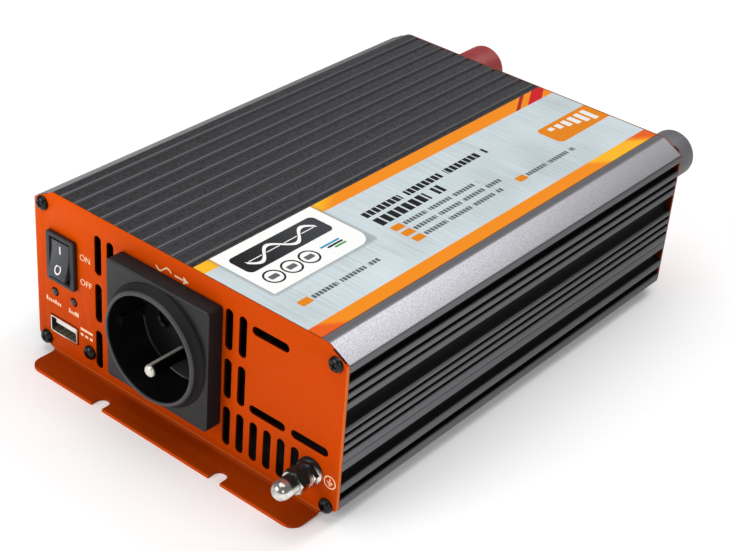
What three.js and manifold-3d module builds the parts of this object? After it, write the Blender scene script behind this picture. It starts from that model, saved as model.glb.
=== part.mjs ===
// A mobile power inverter: a two-part finned aluminium case between two bent-sheet end panels,
// with its sockets, switch, terminals, fan and circuit board.
// Millimetres. +X is to the right seen from the front panel, +Y runs from front to rear, +Z is up.
// The origin is the middle of the case's flat underside.

import * as THREE from "three";
import { mergeVertices } from "three/addons/utils/BufferGeometryUtils.js";
import Module from "manifold-3d";

const wasm = await Module();
wasm.setup();

// ---------------------------------------------------------------- driving dimensions

const CASE = {
  width: 150,
  length: 206,
  wall: 6.8,
  floor: 2.4,
  roof: 3.3,
  shoulderRun: 9,
  shoulderRise: 4.8,
  footRun: 9,
  footRise: 6.2,
};

// The finned side, from the top shoulder down to the bottom edge: f is a fin's height,
// g a narrow groove's and r a wide round recess's.
const UPPER_SIDE = [
  ["f", 4.2], ["g", 3.0], ["f", 2.4], ["g", 1.8], ["f", 2.2], ["g", 1.6], ["f", 2.7], ["r", 8.1],
  ["f", 1.6], ["g", 1.6], ["f", 2.1], ["g", 1.6], ["f", 2.1], ["g", 1.6], ["f", 3.3],
];
const LOWER_SIDE = [["f", 3.6], ["r", 6.1], ["f", 3.1], ["g", 3.4], ["f", 3.6]];
const GROOVE_DEPTH = 2.6;
const RECESS_DEPTH = 3.0;

const RIB = { pitch: 7, groove: 1.6, depth: 1.0 };
const LABEL = { width: 57.8, fromEdge: 12.7, thickness: 0.3, ledge: 1.6 };
const JOINT = { tongue: 1.4, height: 1.8, inset: 3 };
const BOSS = { fromSide: 4.6, topDrop: 5.7, footRise: 6.3 };
const BOARD_SLOT = { floorRib: 5.0, height: 2.1, lip: 1.2, depth: 2.0, reach: 3.0 };

const SHEET = { thickness: 1.2, bendRadius: 2.2 };
const FLANGE = { inset: 8, reach: 12.5, corner: 5, slotPitch: 59.6, slotWidth: 5.6, slotDepth: 5.7 };

const SCREW = { shank: 2.6, length: 10, head: 5.8, headHeight: 2.0 };
const VENT = {
  width: 3.6, length: 16.6, tierPitch: 20.4, lowTier: 14.3, columnPitch: 6.4, toOutlet: 2.7, leftGap: 5.6,
  acrossX: 42, acrossPitch: 19.3, acrossZ: 27.8, acrossDrop: 10.3,
};

const SWITCH = {
  x: 15 - CASE.width / 2, z: 45.3, width: 15, height: 21, proud: 2, lip: 0.9,
  rockerWidth: 9.4, rockerHeight: 14.8, swing: 1.1, bodyDepth: 15, cavityDepth: 8,
  tabWidth: 6.2, tabLength: 6, tabPitch: 6,
};
const ROCKER = { tilt: 10, pivotDepth: 0.9, valley: 2.5, pin: 2, pinReach: 0.6 };
const LAMP = { x: 14.9 - CASE.width / 2, z: 28.8, pitch: 10.2, diameter: 3.2, proud: 0.8 };
const USB = {
  x: 14.6 - CASE.width / 2, z: 14.2, width: 14.5, height: 7, depth: 14, wall: 0.5, proud: 0.6,
  tongueWidth: 11.2, tongueThickness: 2.2, tongueDrop: 0.7,
};
const USB_BOARD = { width: 20.4, bottom: 9, height: 24.2, thickness: 1.6 };
const BRACKET = { x: 28.7 - CASE.width / 2, z: 10.7, thickness: 1.2, toEdge: 2.3 };

// Radii of the outlet are counted inwards from its square flange.
const OUTLET = {
  x: -4.5, z: 38.2, flange: 50, corner: 1.6, proud: 7.1,
  rimHeight: 11.2, toCollar: 1.4, toBack: 3, toRim: 3.4, toRecess: 4.7, floorDepth: 6, backDepth: 20,
};
const EARTH_PIN = { diameter: 4.8, drop: 9.5, tip: 11 };
const CONTACT = { spacing: 19, outer: 5.8, inner: 4.6, entry: 5.2, shoulder: 2, tail: 2 };

const GROUND = {
  x: CASE.width / 2 - 12.2, z: 17.2, stud: 5, studShort: 3.6, innerNut: 4,
  baseFlange: 10.8, flangeHeight: 1.4, baseNut: 8.8, baseHeight: 3.6, washer: 8.8, washerHeight: 1.6,
  capNut: 8.6, capHeight: 4.6, dome: 7.4, reach: 18.2,
};

const TERMINAL = {
  offset: 49.55, centre: 9.05, z: 54, stagger: 2, stud: 8, bush: 18.6, bushHeight: 3, washer: 15.4,
  washerHeight: 1.5, bushWall: 1.5, sleeve: 6, knob: 20, knobLength: 20.8, innerReach: 14, studShort: 5,
  endGap: 1.6,
};

const FAN = {
  size: 60, depth: 15, wall: 1.8, hub: 24, screwInset: 5, corner: 4, strut: 3, strutDepth: 2.5, shaft: 3,
  blades: 7, bladeThickness: 1.3, chord: 13, rootTwist: 48, tipTwist: 28, tipGap: 1,
};
const GUARD = { wire: 1.8, rings: [0.355, 0.603, 0.851], lug: 7 };

const BOARD = { thickness: 1.6, frontGap: 30, rearGap: 20 };

const CLEARANCE = 0.3;
const SLIP = 0.15;

// How many flat sides stand for a circle: large openings, ordinary turned pieces, screws and small holes.
const LARGE = 32;
const ROUND = 20;
const SMALL = 10;

// ---------------------------------------------------------------- derived sizes

const stackHeight = (bands) => bands.reduce((sum, [, height]) => sum + height, 0);
const halfWidth = CASE.width / 2;
const innerHalf = halfWidth - CASE.wall;
const splitZ = CASE.footRise + stackHeight(LOWER_SIDE);
const shoulderZ = splitZ + stackHeight(UPPER_SIDE);
const topZ = shoulderZ + CASE.shoulderRise;
const roofZ = topZ - CASE.roof;
const frontY = -CASE.length / 2;
const rearY = CASE.length / 2;
const frontFace = frontY - SHEET.thickness;
const rearFace = rearY + SHEET.thickness;
const bossX = halfWidth - BOSS.fromSide;
const bossTopZ = topZ - BOSS.topDrop;
const labelRight = halfWidth - LABEL.fromEdge;
const labelLeft = labelRight - LABEL.width;
const boardZ = BOARD_SLOT.floorRib;
const boardTop = boardZ + BOARD.thickness;
const boardHalf = innerHalf - BOARD_SLOT.reach + BOARD_SLOT.depth - CLEARANCE;
const boardFront = frontY + BOARD.frontGap;
const boardRear = rearY - BOARD.rearGap;
const fanX = TERMINAL.centre;
const fanZ = (topZ + SHEET.thickness) / 2;
const outletBack = OUTLET.flange / 2 - OUTLET.toBack;
const fanDuct = FAN.size - 2 * FAN.wall;
const fanPitch = FAN.size - 2 * FAN.screwInset;
const shankHole = SCREW.shank / 2 + CLEARANCE;

// ---------------------------------------------------------------- geometry helpers

function toSolid(geometry) {
  const bare = geometry.clone();
  bare.deleteAttribute("normal");
  bare.deleteAttribute("uv");
  const merged = mergeVertices(bare, 1e-5);
  return new wasm.Manifold(new wasm.Mesh({
    numProp: 3,
    vertProperties: new Float32Array(merged.attributes.position.array),
    triVerts: new Uint32Array(merged.index.array),
  }));
}

function toGeometry(solid) {
  const mesh = solid.getMesh();
  const geometry = new THREE.BufferGeometry();
  geometry.setAttribute("position", new THREE.BufferAttribute(new Float32Array(mesh.vertProperties), 3));
  geometry.setIndex(new THREE.BufferAttribute(new Uint32Array(mesh.triVerts), 1));
  return geometry;
}

const join = (first, ...rest) => toGeometry(rest.reduce((sum, g) => sum.add(toSolid(g)), toSolid(first)));
const cut = (first, ...rest) => toGeometry(rest.reduce((sum, g) => sum.subtract(toSolid(g)), toSolid(first)));

function shapeOf(points, holes = []) {
  const shape = new THREE.Shape(points.map(([u, v]) => new THREE.Vector2(u, v)));
  shape.holes = holes.map((hole) => new THREE.Path(hole.map(([u, v]) => new THREE.Vector2(u, v))));
  return shape;
}

// Extrusions: the outline lies in XZ, in YZ or in XY and runs along the remaining axis.
function extrudeY(shape, fromY, toY) {
  const geometry = new THREE.ExtrudeGeometry(shape, { depth: toY - fromY, bevelEnabled: false });
  return geometry.rotateX(Math.PI / 2).translate(0, toY, 0);
}

function extrudeX(shape, fromX, toX) {
  const geometry = new THREE.ExtrudeGeometry(shape, { depth: toX - fromX, bevelEnabled: false });
  const turn = new THREE.Matrix4().makeBasis(
    new THREE.Vector3(0, 1, 0), new THREE.Vector3(0, 0, 1), new THREE.Vector3(1, 0, 0));
  return geometry.applyMatrix4(turn).translate(fromX, 0, 0);
}

function extrudeZ(shape, fromZ, toZ) {
  const geometry = new THREE.ExtrudeGeometry(shape, { depth: toZ - fromZ, bevelEnabled: false });
  return geometry.translate(0, 0, fromZ);
}

function block(x0, x1, y0, y1, z0, z1) {
  const geometry = new THREE.BoxGeometry(x1 - x0, y1 - y0, z1 - z0);
  return geometry.translate((x0 + x1) / 2, (y0 + y1) / 2, (z0 + z1) / 2);
}

// An arc's points, angles in degrees.
function arc(u, v, radius, from, to, steps) {
  return Array.from({ length: steps + 1 }, (_, i) => {
    const angle = THREE.MathUtils.degToRad(from + (to - from) * i / steps);
    return [u + radius * Math.cos(angle), v + radius * Math.sin(angle)];
  });
}

const circle = (u, v, radius, sides = ROUND) => arc(u, v, radius, 0, 360 * (sides - 1) / sides, sides - 1);

function roundedRect(u, v, width, height, radius, steps = 4) {
  const a = width / 2 - radius;
  const b = height / 2 - radius;
  return [
    ...arc(u + a, v - b, radius, -90, 0, steps),
    ...arc(u + a, v + b, radius, 0, 90, steps),
    ...arc(u - a, v + b, radius, 90, 180, steps),
    ...arc(u - a, v - b, radius, 180, 270, steps),
  ];
}

// A turned piece about the Y direction. Its profile is [radius, reach] pairs, where reach runs
// from the plane y = datum outwards: towards -Y on the front (side -1), towards +Y on the rear.
function turned(profile, x, z, datum, side, sides = ROUND) {
  const points = profile.map(([radius, reach]) => new THREE.Vector2(radius, side * reach));
  if (side < 0) points.reverse();
  const geometry = new THREE.LatheGeometry(points, sides);
  return geometry.translate(x, datum, z);
}

const rod = (x, z, radius, y0, y1, sides = ROUND) =>
  turned([[0, 0], [radius, 0], [radius, y1 - y0], [0, y1 - y0]], x, z, y0, 1, sides);

// A hexagon prism about Y with a round hole.
function hexNut(x, z, acrossFlats, hole, y0, y1) {
  const corner = acrossFlats / Math.sqrt(3);
  return extrudeY(shapeOf(circle(x, z, corner, 6), [circle(x, z, hole, SMALL)]), y0, y1);
}

// A tube along a smooth curve through the given points.
function cable(points, radius, steps) {
  const path = new THREE.CatmullRomCurve3(points.map(([x, y, z]) => new THREE.Vector3(x, y, z)));
  const section = shapeOf(circle(0, 0, radius, 8));
  return new THREE.ExtrudeGeometry(section, { extrudePath: path, steps, bevelEnabled: false });
}

// ---------------------------------------------------------------- materials

const finishes = {
  anodised: [0x4a4a4b, 0.5, 0.8],
  orangePaint: [0xe04e08, 0.45, 0.1],
  labelFilm: [0xc8d7dc, 0.35, 0.3],
  blackSteel: [0x17181a, 0.4, 0.7],
  blackPlastic: [0x1b1c1f, 0.5, 0.0],
  whitePlastic: [0xe9e8e2, 0.45, 0.0],
  redPlastic: [0xa83236, 0.5, 0.0],
  greyPlastic: [0x4b4b4d, 0.55, 0.0],
  bright: [0xd6d6d4, 0.2, 1.0],
  brass: [0xc8a050, 0.3, 1.0],
  board: [0x1d5a34, 0.5, 0.0],
  ferrite: [0x2b2b2d, 0.7, 0.0],
  winding: [0xd9b13a, 0.5, 0.0],
  capacitor: [0x23324a, 0.4, 0.0],
  aluminium: [0xb9bbbd, 0.4, 0.9],
  redLamp: [0x7a1512, 0.25, 0.0],
  greenLamp: [0x1d4d20, 0.25, 0.0],
  copper: [0xb5651d, 0.35, 0.8],
  redCable: [0xb0201c, 0.5, 0.0],
  blackCable: [0x141414, 0.5, 0.0],
};

const model = new THREE.Group();
model.name = "power_inverter";

function addPart(name, geometry, finish) {
  const [color, roughness, metalness] = finishes[finish];
  const mesh = new THREE.Mesh(geometry, new THREE.MeshStandardMaterial({ color, roughness, metalness }));
  mesh.name = name;
  model.add(mesh);
  return mesh;
}

// ---------------------------------------------------------------- the case

// The right-hand side of the case from the top down, as points of its outline.
function finnedSide(bands, fromZ) {
  const points = [[halfWidth, fromZ]];
  let z = fromZ;
  for (const [kind, height] of bands) {
    const lower = z - height;
    if (kind === "g") {
      points.push([halfWidth, z], [halfWidth - GROOVE_DEPTH, z]);
      points.push([halfWidth - GROOVE_DEPTH, lower], [halfWidth, lower]);
    }
    if (kind === "r") {
      const radius = (RECESS_DEPTH ** 2 + (height / 2) ** 2) / (2 * RECESS_DEPTH);
      const spread = THREE.MathUtils.radToDeg(Math.asin(height / 2 / radius));
      const centre = halfWidth - RECESS_DEPTH + radius;
      points.push(...arc(centre, (z + lower) / 2, radius, 180 - spread, 180 + spread, 8));
    }
    z = lower;
  }
  points.push([halfWidth, z]);
  return points;
}

const mirrored = (points) => points.map(([x, z]) => [-x, z]).reverse();

function ribbedRoof() {
  const points = [];
  const ledge = topZ - LABEL.thickness;
  points.push([labelRight + LABEL.ledge, topZ], [labelRight + LABEL.ledge, ledge]);
  points.push([labelLeft - LABEL.ledge, ledge], [labelLeft - LABEL.ledge, topZ]);
  const leftEdge = -halfWidth + CASE.shoulderRun;
  for (let x = labelLeft - LABEL.ledge - RIB.pitch; x - RIB.groove > leftEdge; x -= RIB.pitch) {
    points.push([x, topZ], [x - RIB.groove * 0.25, topZ - RIB.depth]);
    points.push([x - RIB.groove * 0.75, topZ - RIB.depth], [x - RIB.groove, topZ]);
  }
  return points;
}

function upperCasing() {
  const shoulderX = halfWidth - CASE.shoulderRun;
  const side = finnedSide(UPPER_SIDE, shoulderZ).reverse();
  const tongueX = innerHalf + JOINT.inset - JOINT.tongue / 2;
  const innerRight = [
    [innerHalf, splitZ],
    [tongueX, splitZ],
    [tongueX, splitZ - JOINT.height],
    [tongueX + JOINT.tongue, splitZ - JOINT.height],
    [tongueX + JOINT.tongue, splitZ],
  ];
  const roofCorner = [
    [innerHalf - 4.2, roofZ],
    [innerHalf - 2, roofZ - 2.2],
    [innerHalf - 2, roofZ - 4.6],
    [innerHalf, roofZ - 6.6],
  ];
  const right = [...innerRight, ...side, [shoulderX, topZ]];
  const outline = [
    ...right,
    ...ribbedRoof(),
    ...mirrored(right),
    ...mirrored(roofCorner),
    ...roofCorner,
  ];
  const holes = [-1, 1].map((s) => circle(s * bossX, bossTopZ, shankHole, SMALL));
  addPart("upper_casing", extrudeY(shapeOf(outline, holes), frontY, rearY), "anodised");
}

function lowerCasing() {
  const side = finnedSide(LOWER_SIDE, splitZ).reverse();
  const grooveX = innerHalf + JOINT.inset - JOINT.tongue / 2 - CLEARANCE;
  const grooveFloor = splitZ - JOINT.height - CLEARANCE;
  const slotTop = BOARD_SLOT.floorRib + BOARD_SLOT.height;
  const lipX = innerHalf - BOARD_SLOT.reach;
  const slotX = lipX + BOARD_SLOT.depth;
  const right = [
    [halfWidth - CASE.footRun, 0],
    ...side,
    [grooveX + JOINT.tongue + 2 * CLEARANCE, splitZ],
    [grooveX + JOINT.tongue + 2 * CLEARANCE, grooveFloor],
    [grooveX, grooveFloor],
    [grooveX, splitZ],
    [innerHalf, splitZ],
    [innerHalf, slotTop + BOARD_SLOT.lip],
    [lipX, slotTop + BOARD_SLOT.lip],
    [lipX, slotTop],
    [slotX, slotTop],
    [slotX, BOARD_SLOT.floorRib],
    [lipX, BOARD_SLOT.floorRib],
    [lipX, CASE.floor],
  ];
  const holes = [-1, 1].map((s) => circle(s * bossX, BOSS.footRise, shankHole, SMALL));
  const section = shapeOf([...right, ...mirrored(right)], holes);
  addPart("lower_casing", extrudeY(section, frontY, rearY), "anodised");
}

function topLabel() {
  const z = topZ - LABEL.thickness;
  addPart("top_label", block(labelLeft, labelRight, frontY + 0.2, rearY - 0.2, z, topZ), "labelFilm");
}

// ---------------------------------------------------------------- end panels

function ventSlot(x, z, upright) {
  const width = upright ? VENT.width : VENT.length;
  const height = upright ? VENT.length : VENT.width;
  return roundedRect(x, z, width, height, VENT.width / 2, 2);
}

// Upright slots in three tiers on both sides of the outlet, the lowest tier going on to the right,
// and three slots lying across.
function frontVents() {
  const outletLeft = OUTLET.x - OUTLET.flange / 2;
  const outletRight = OUTLET.x + OUTLET.flange / 2;
  const lastColumn = outletRight + VENT.toOutlet + VENT.columnPitch;
  const columns = [
    outletLeft - VENT.leftGap - VENT.columnPitch,
    outletLeft - VENT.leftGap,
    outletRight + VENT.toOutlet,
    lastColumn,
  ];
  const tiers = [0, 1, 2].map((tier) => VENT.lowTier + tier * VENT.tierPitch);
  const tall = columns.flatMap((x) => tiers.map((z) => ventSlot(x, z, true)));
  const row = [1, 2, 3, 4].map((step) => ventSlot(lastColumn + step * VENT.columnPitch, tiers[0], true));
  const across = [
    ventSlot(VENT.acrossX, topZ - VENT.acrossDrop, false),
    ventSlot(VENT.acrossX, VENT.acrossZ, false),
    ventSlot(VENT.acrossX + VENT.acrossPitch, VENT.acrossZ, false),
  ];
  return [...tall, ...row, ...across];
}

// One bent sheet. The plate stands against the case's end and its foot runs outwards along z = 0.
// side is -1 for the front panel and +1 for the rear one.
function endPanel(name, side, holes) {
  const bend = SHEET.bendRadius;
  const t = SHEET.thickness;
  const half = halfWidth - FLANGE.inset;
  const inner = side * CASE.length / 2;
  const outer = inner + side * t;
  const right = [
    [half, bend],
    [halfWidth, CASE.footRise],
    [halfWidth, shoulderZ],
    [halfWidth - CASE.shoulderRun, topZ],
  ];
  const plateShape = shapeOf([...right, ...mirrored(right)], holes);
  const plate = extrudeY(plateShape, Math.min(inner, outer), Math.max(inner, outer));

  const bendY = inner + side * bend;
  const start = side < 0 ? 0 : 180;
  const end = side < 0 ? -90 : 270;
  const bendSection = [
    [inner, bend + 1],
    ...arc(bendY, bend, bend, start, end, 5),
    [bendY + side, 0],
    [bendY + side, t],
    ...arc(bendY, bend, bend - t, end, start, 5),
    [outer, bend + 1],
  ];
  const bentEdge = extrudeX(shapeOf(bendSection), -half, half);

  const tip = outer + side * FLANGE.reach;
  const r = FLANGE.corner;
  const corners = [-1, 1].map((s) => {
    const from = side < 0 ? 225 + 45 * s : 45 - 45 * s;
    return arc(s * (half - r), tip - side * r, r, from, from + 90, 4);
  });
  const footOutline = side < 0
    ? [[-half, bendY], ...corners[0], ...corners[1], [half, bendY]]
    : [[half, bendY], ...corners[1], ...corners[0], [-half, bendY]];
  const foot = extrudeZ(shapeOf(footOutline), 0, t);

  const w = FLANGE.slotWidth / 2;
  const slotEnd = tip - side * (FLANGE.slotDepth - w);
  const notches = [-1, 1].map((s) => {
    const x = s * FLANGE.slotPitch / 2;
    const roundEnd = arc(x, slotEnd, w, side < 0 ? 0 : 180, side < 0 ? 180 : 360, 8);
    const mouth = [[x + side * w, tip + side], [x - side * w, tip + side]];
    return extrudeZ(shapeOf([...roundEnd, ...mouth]), -1, t + 1);
  });
  addPart(name, cut(join(plate, bentEdge, foot), ...notches), "orangePaint");
}

const cornerScrewPlaces = [
  ["top_left", -bossX, bossTopZ],
  ["top_right", bossX, bossTopZ],
  ["bottom_left", -bossX, BOSS.footRise],
  ["bottom_right", bossX, BOSS.footRise],
];
const cornerHoles = cornerScrewPlaces.map(([, x, z]) => circle(x, z, shankHole, SMALL));

function frontPanel() {
  endPanel("front_panel", -1, [
    ...cornerHoles,
    ...frontVents(),
    circle(BRACKET.x, BRACKET.z, shankHole, SMALL),
    roundedRect(SWITCH.x, SWITCH.z, SWITCH.width - 2 * SWITCH.lip, SWITCH.height - 2 * SWITCH.lip, 0.3, 1),
    ...[-0.5, 0.5].map((s) => circle(LAMP.x + s * LAMP.pitch, LAMP.z, LAMP.diameter / 2 + CLEARANCE, SMALL)),
    roundedRect(USB.x, USB.z, USB.width + 2 * CLEARANCE, USB.height + 2 * CLEARANCE, 0.3, 1),
    circle(OUTLET.x, OUTLET.z, outletBack + CLEARANCE, LARGE),
    circle(GROUND.x, GROUND.z, GROUND.stud / 2 + CLEARANCE, SMALL),
  ]);
}

const terminals = [["positive", -1], ["negative", 1]].map(([name, s]) => (
  { name, x: TERMINAL.centre + s * TERMINAL.offset, z: TERMINAL.z - s * TERMINAL.stagger }));
const fanScrewPlaces = [-1, 1].flatMap((sx) => [-1, 1].map((sz) => (
  [fanX + sx * fanPitch / 2, fanZ + sz * fanPitch / 2])));

function rearPanel() {
  endPanel("rear_panel", 1, [
    ...cornerHoles,
    circle(fanX, fanZ, fanDuct / 2, LARGE),
    ...fanScrewPlaces.map(([x, z]) => circle(x, z, shankHole, SMALL)),
    ...terminals.map(({ x, z }) => circle(x, z, TERMINAL.stud / 2 + TERMINAL.bushWall + CLEARANCE)),
  ]);
}

function panScrew(name, x, z, seatY, side) {
  const half = SCREW.head / 2;
  const profile = [
    [0, -SCREW.length], [SCREW.shank / 2, -SCREW.length], [SCREW.shank / 2, 0], [half, 0], [half, 1],
    [half - 1, SCREW.headHeight], [0, SCREW.headHeight],
  ];
  addPart(name, turned(profile, x, z, seatY, side, SMALL), "blackSteel");
}

function screws() {
  for (const [place, x, z] of cornerScrewPlaces) {
    panScrew(`front_screw_${place}`, x, z, frontFace, -1);
    panScrew(`rear_screw_${place}`, x, z, rearFace, 1);
  }
  panScrew("bracket_screw", BRACKET.x, BRACKET.z, frontFace, -1);
}

// ---------------------------------------------------------------- switch, lamps and USB socket

const pivotY = frontFace + ROCKER.pivotDepth;
const rockerHalf = SWITCH.rockerHeight / 2;

// The rocker's outline about its pin, in its middle position: a shallow V facing outwards.
function rockerOutline() {
  const rise = rockerHalf * Math.tan(THREE.MathUtils.degToRad(ROCKER.tilt));
  const back = ROCKER.pin + 0.6;
  return [
    [-ROCKER.valley - rise, -rockerHalf],
    [-ROCKER.valley, 0],
    [-ROCKER.valley - rise, rockerHalf],
    [-0.6, rockerHalf - 0.9],
    [back, back],
    [back, -back],
    [-0.6, -rockerHalf + 0.9],
  ];
}

function rockerSwitch() {
  const { x, z } = SWITCH;
  const cavityW = SWITCH.rockerWidth / 2 + CLEARANCE;
  const cavityH = rockerHalf + SWITCH.swing;
  const bodyW = SWITCH.width / 2 - SWITCH.lip - CLEARANCE;
  const bodyH = SWITCH.height / 2 - SWITCH.lip - CLEARANCE;
  const bezelFace = frontFace - SWITCH.proud;
  const back = frontFace + SWITCH.bodyDepth;
  const edge = shapeOf(roundedRect(x, z, SWITCH.width, SWITCH.height, 1.2, 3));
  const bezel = extrudeY(edge, bezelFace, frontFace);
  const body = block(x - bodyW, x + bodyW, frontFace - 0.5, back, z - bodyH, z + bodyH);
  const cavityBack = frontFace + SWITCH.cavityDepth;
  const cavity = block(x - cavityW, x + cavityW, bezelFace - 1, cavityBack, z - cavityH, z + cavityH);
  const tabs = [-1, 0, 1].map((s) => {
    const tabZ = z + s * SWITCH.tabPitch;
    const half = SWITCH.tabWidth / 2;
    return block(x - half, x + half, back - 1, back + SWITCH.tabLength, tabZ - 0.4, tabZ + 0.4);
  });
  const pinReach = cavityW + ROCKER.pinReach;
  const holeReach = pinReach + CLEARANCE;
  const pinCircle = shapeOf(circle(pivotY, z, ROCKER.pin / 2 + SLIP, SMALL));
  const pinHole = extrudeX(pinCircle, x - holeReach, x + holeReach);
  addPart("switch_housing", cut(join(bezel, body, ...tabs), cavity, pinHole), "blackPlastic");

  const button = extrudeX(shapeOf(rockerOutline()), -SWITCH.rockerWidth / 2, SWITCH.rockerWidth / 2);
  const pin = extrudeX(shapeOf(circle(0, 0, ROCKER.pin / 2, SMALL)), -pinReach, pinReach);
  const rocker = join(button, pin).rotateX(THREE.MathUtils.degToRad(-ROCKER.tilt));
  addPart("switch_rocker", rocker.translate(x, pivotY, z), "blackPlastic");
}

const usbBoardFront = frontFace + USB.depth - USB.proud;

function lamps() {
  const r = LAMP.diameter / 2;
  const seat = -SHEET.thickness - 0.4;
  const profile = [
    [0, -(USB.depth - USB.proud) + CLEARANCE], [r, -(USB.depth - USB.proud) + CLEARANCE], [r, seat - 1.2],
    [r + 0.5, seat - 1.2], [r + 0.5, seat], [r, seat], [r, LAMP.proud - 0.8], [r * 0.6, LAMP.proud],
    [0, LAMP.proud],
  ];
  [["power_lamp", -0.5, "greenLamp"], ["fault_lamp", 0.5, "redLamp"]].forEach(([name, s, finish]) => {
    addPart(name, turned(profile, LAMP.x + s * LAMP.pitch, LAMP.z, frontFace, -1, SMALL), finish);
  });
}

function usbSocket() {
  const { x, z, wall } = USB;
  const y0 = frontFace - USB.proud;
  const y1 = usbBoardFront;
  const w = USB.width / 2;
  const h = USB.height / 2;
  const tongueTop = z + h - wall - USB.tongueDrop;
  const inside = block(x - w + wall, x + w - wall, y0 - 1, y1 - 1, z - h + wall, z + h - wall);
  addPart("usb_shell", cut(block(x - w, x + w, y0, y1, z - h, z + h), inside), "bright");
  const half = USB.tongueWidth / 2;
  const tongue = block(x - half, x + half, y0 + 1.2, y1 - 1, tongueTop - USB.tongueThickness, tongueTop);
  addPart("usb_tongue", tongue, "whitePlastic");

  const left = x - w + CLEARANCE;
  const { width, bottom, height, thickness } = USB_BOARD;
  addPart("usb_board", block(left, left + width, y1, y1 + thickness, bottom, bottom + height), "board");

  // A bent strap from the panel's back to the board's front, held by its screw.
  const { thickness: t, toEdge } = BRACKET;
  const z0 = BRACKET.z - toEdge;
  const z1 = BRACKET.z + toEdge + 1;
  const legX = BRACKET.x - toEdge - 1;
  const frontLeg = block(legX, BRACKET.x + toEdge, frontY, frontY + t, z0, z1);
  const sideLeg = block(legX - t, legX, frontY, y1, z0, z1);
  const hole = rod(BRACKET.x, BRACKET.z, shankHole, frontY - 1, frontY + t + 1, SMALL);
  addPart("board_bracket", cut(join(frontLeg, sideLeg), hole), "aluminium");
}

// ---------------------------------------------------------------- AC outlet

function outlet() {
  const { x, z } = OUTLET;
  const collarR = OUTLET.flange / 2 - OUTLET.toCollar;
  const rimR = OUTLET.flange / 2 - OUTLET.toRim;
  const recessR = OUTLET.flange / 2 - OUTLET.toRecess;
  const back = frontFace + OUTLET.backDepth;
  const floorY = frontFace + OUTLET.floorDepth;
  const square = shapeOf(roundedRect(x, z, OUTLET.flange, OUTLET.flange, OUTLET.corner, 3));
  const flange = extrudeY(square, frontFace - OUTLET.proud, frontFace);
  const collar = turned([
    [0, OUTLET.proud - 1], [collarR, OUTLET.proud - 1], [collarR, OUTLET.proud], [rimR, OUTLET.rimHeight],
    [0, OUTLET.rimHeight],
  ], x, z, frontFace, -1, LARGE);
  const cup = rod(x, z, outletBack, frontFace - 1, back, LARGE);
  const recess = rod(x, z, recessR, frontFace - OUTLET.rimHeight - 1, floorY, LARGE);
  const earthBore = rod(x, z - EARTH_PIN.drop, EARTH_PIN.diameter / 2 + SLIP, floorY - 1, back + 1, 12);
  const bores = [-1, 1].flatMap((s) => {
    const cx = x + s * CONTACT.spacing / 2;
    return [
      rod(cx, z, CONTACT.entry / 2, floorY - 1, floorY + CONTACT.shoulder + 1, 12),
      rod(cx, z, CONTACT.outer / 2 + SLIP, floorY + CONTACT.shoulder, back + 1, 12),
    ];
  });
  addPart("outlet_housing", cut(join(flange, collar, cup), recess, earthBore, ...bores), "blackPlastic");

  const tail = -OUTLET.backDepth - CONTACT.tail;
  const r = EARTH_PIN.diameter / 2;
  const tip = EARTH_PIN.tip;
  const pin = [[0, tail], [r, tail], [r, tip - 1.6], [r - 0.6, tip - 0.5], [0, tip]];
  addPart("earth_pin", turned(pin, x, z - EARTH_PIN.drop, frontFace, -1, 12), "bright");

  const outer = CONTACT.outer / 2;
  const inner = CONTACT.inner / 2;
  const mouth = -OUTLET.floorDepth - CONTACT.shoulder - CLEARANCE;
  const end = -OUTLET.backDepth + 1;
  const sleeve = [[0, tail], [outer, tail], [outer, mouth], [inner, mouth], [inner, end], [0, end]];
  [["line_contact", -1], ["neutral_contact", 1]].forEach(([name, s]) => {
    addPart(name, turned(sleeve, x + s * CONTACT.spacing / 2, z, frontFace, -1, 12), "brass");
  });
}

// ---------------------------------------------------------------- ground terminal

function groundTerminal() {
  const { x, z } = GROUND;
  const studR = GROUND.stud / 2;
  const washerAt = GROUND.baseHeight;
  const capAt = washerAt + GROUND.washerHeight;
  const domeAt = capAt + GROUND.capHeight;
  const domeR = GROUND.dome / 2;
  const nutHole = studR + SLIP;
  const studTip = frontFace - GROUND.reach + GROUND.studShort;
  addPart("ground_stud", rod(x, z, studR, studTip, frontY + GROUND.innerNut + 2, SMALL), "bright");
  const baseHex = hexNut(x, z, GROUND.baseNut, nutHole, frontFace - GROUND.baseHeight, frontFace);
  const flangeR = GROUND.baseFlange / 2;
  const flange = turned([
    [nutHole, 0], [flangeR, 0], [flangeR, GROUND.flangeHeight - 0.5], [flangeR - 0.7, GROUND.flangeHeight],
    [nutHole, GROUND.flangeHeight], [nutHole, 0],
  ], x, z, frontFace, -1, SMALL * 2);
  addPart("ground_base_nut", join(baseHex, flange), "bright");
  const innerNut = hexNut(x, z, GROUND.capNut, nutHole, frontY, frontY + GROUND.innerNut);
  addPart("ground_inner_nut", innerNut, "bright");

  const w = GROUND.washer / 2;
  const inner = studR + CLEARANCE;
  const neck = w - 0.7;
  addPart("ground_washer", turned([
    [inner, washerAt], [w, washerAt], [w, washerAt + 0.6], [neck, washerAt + 0.6], [neck, washerAt + 0.9],
    [w, washerAt + 0.9], [w, capAt], [inner, capAt], [inner, washerAt],
  ], x, z, frontFace, -1, 16), "bright");

  const hex = extrudeY(
    shapeOf(circle(x, z, GROUND.capNut / Math.sqrt(3), 6)), frontFace - domeAt, frontFace - capAt);
  const dome = turned([
    [0, domeAt - 1], [domeR, domeAt - 1], ...arc(0, GROUND.reach - domeR, domeR, 0, 66, 3), [0, GROUND.reach],
  ], x, z, frontFace, -1, 16);
  const bore = rod(x, z, studR + CLEARANCE, studTip - 2, frontFace, SMALL);
  addPart("ground_cap_nut", cut(join(hex, dome), bore), "bright");
}

// ---------------------------------------------------------------- rear terminals

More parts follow.
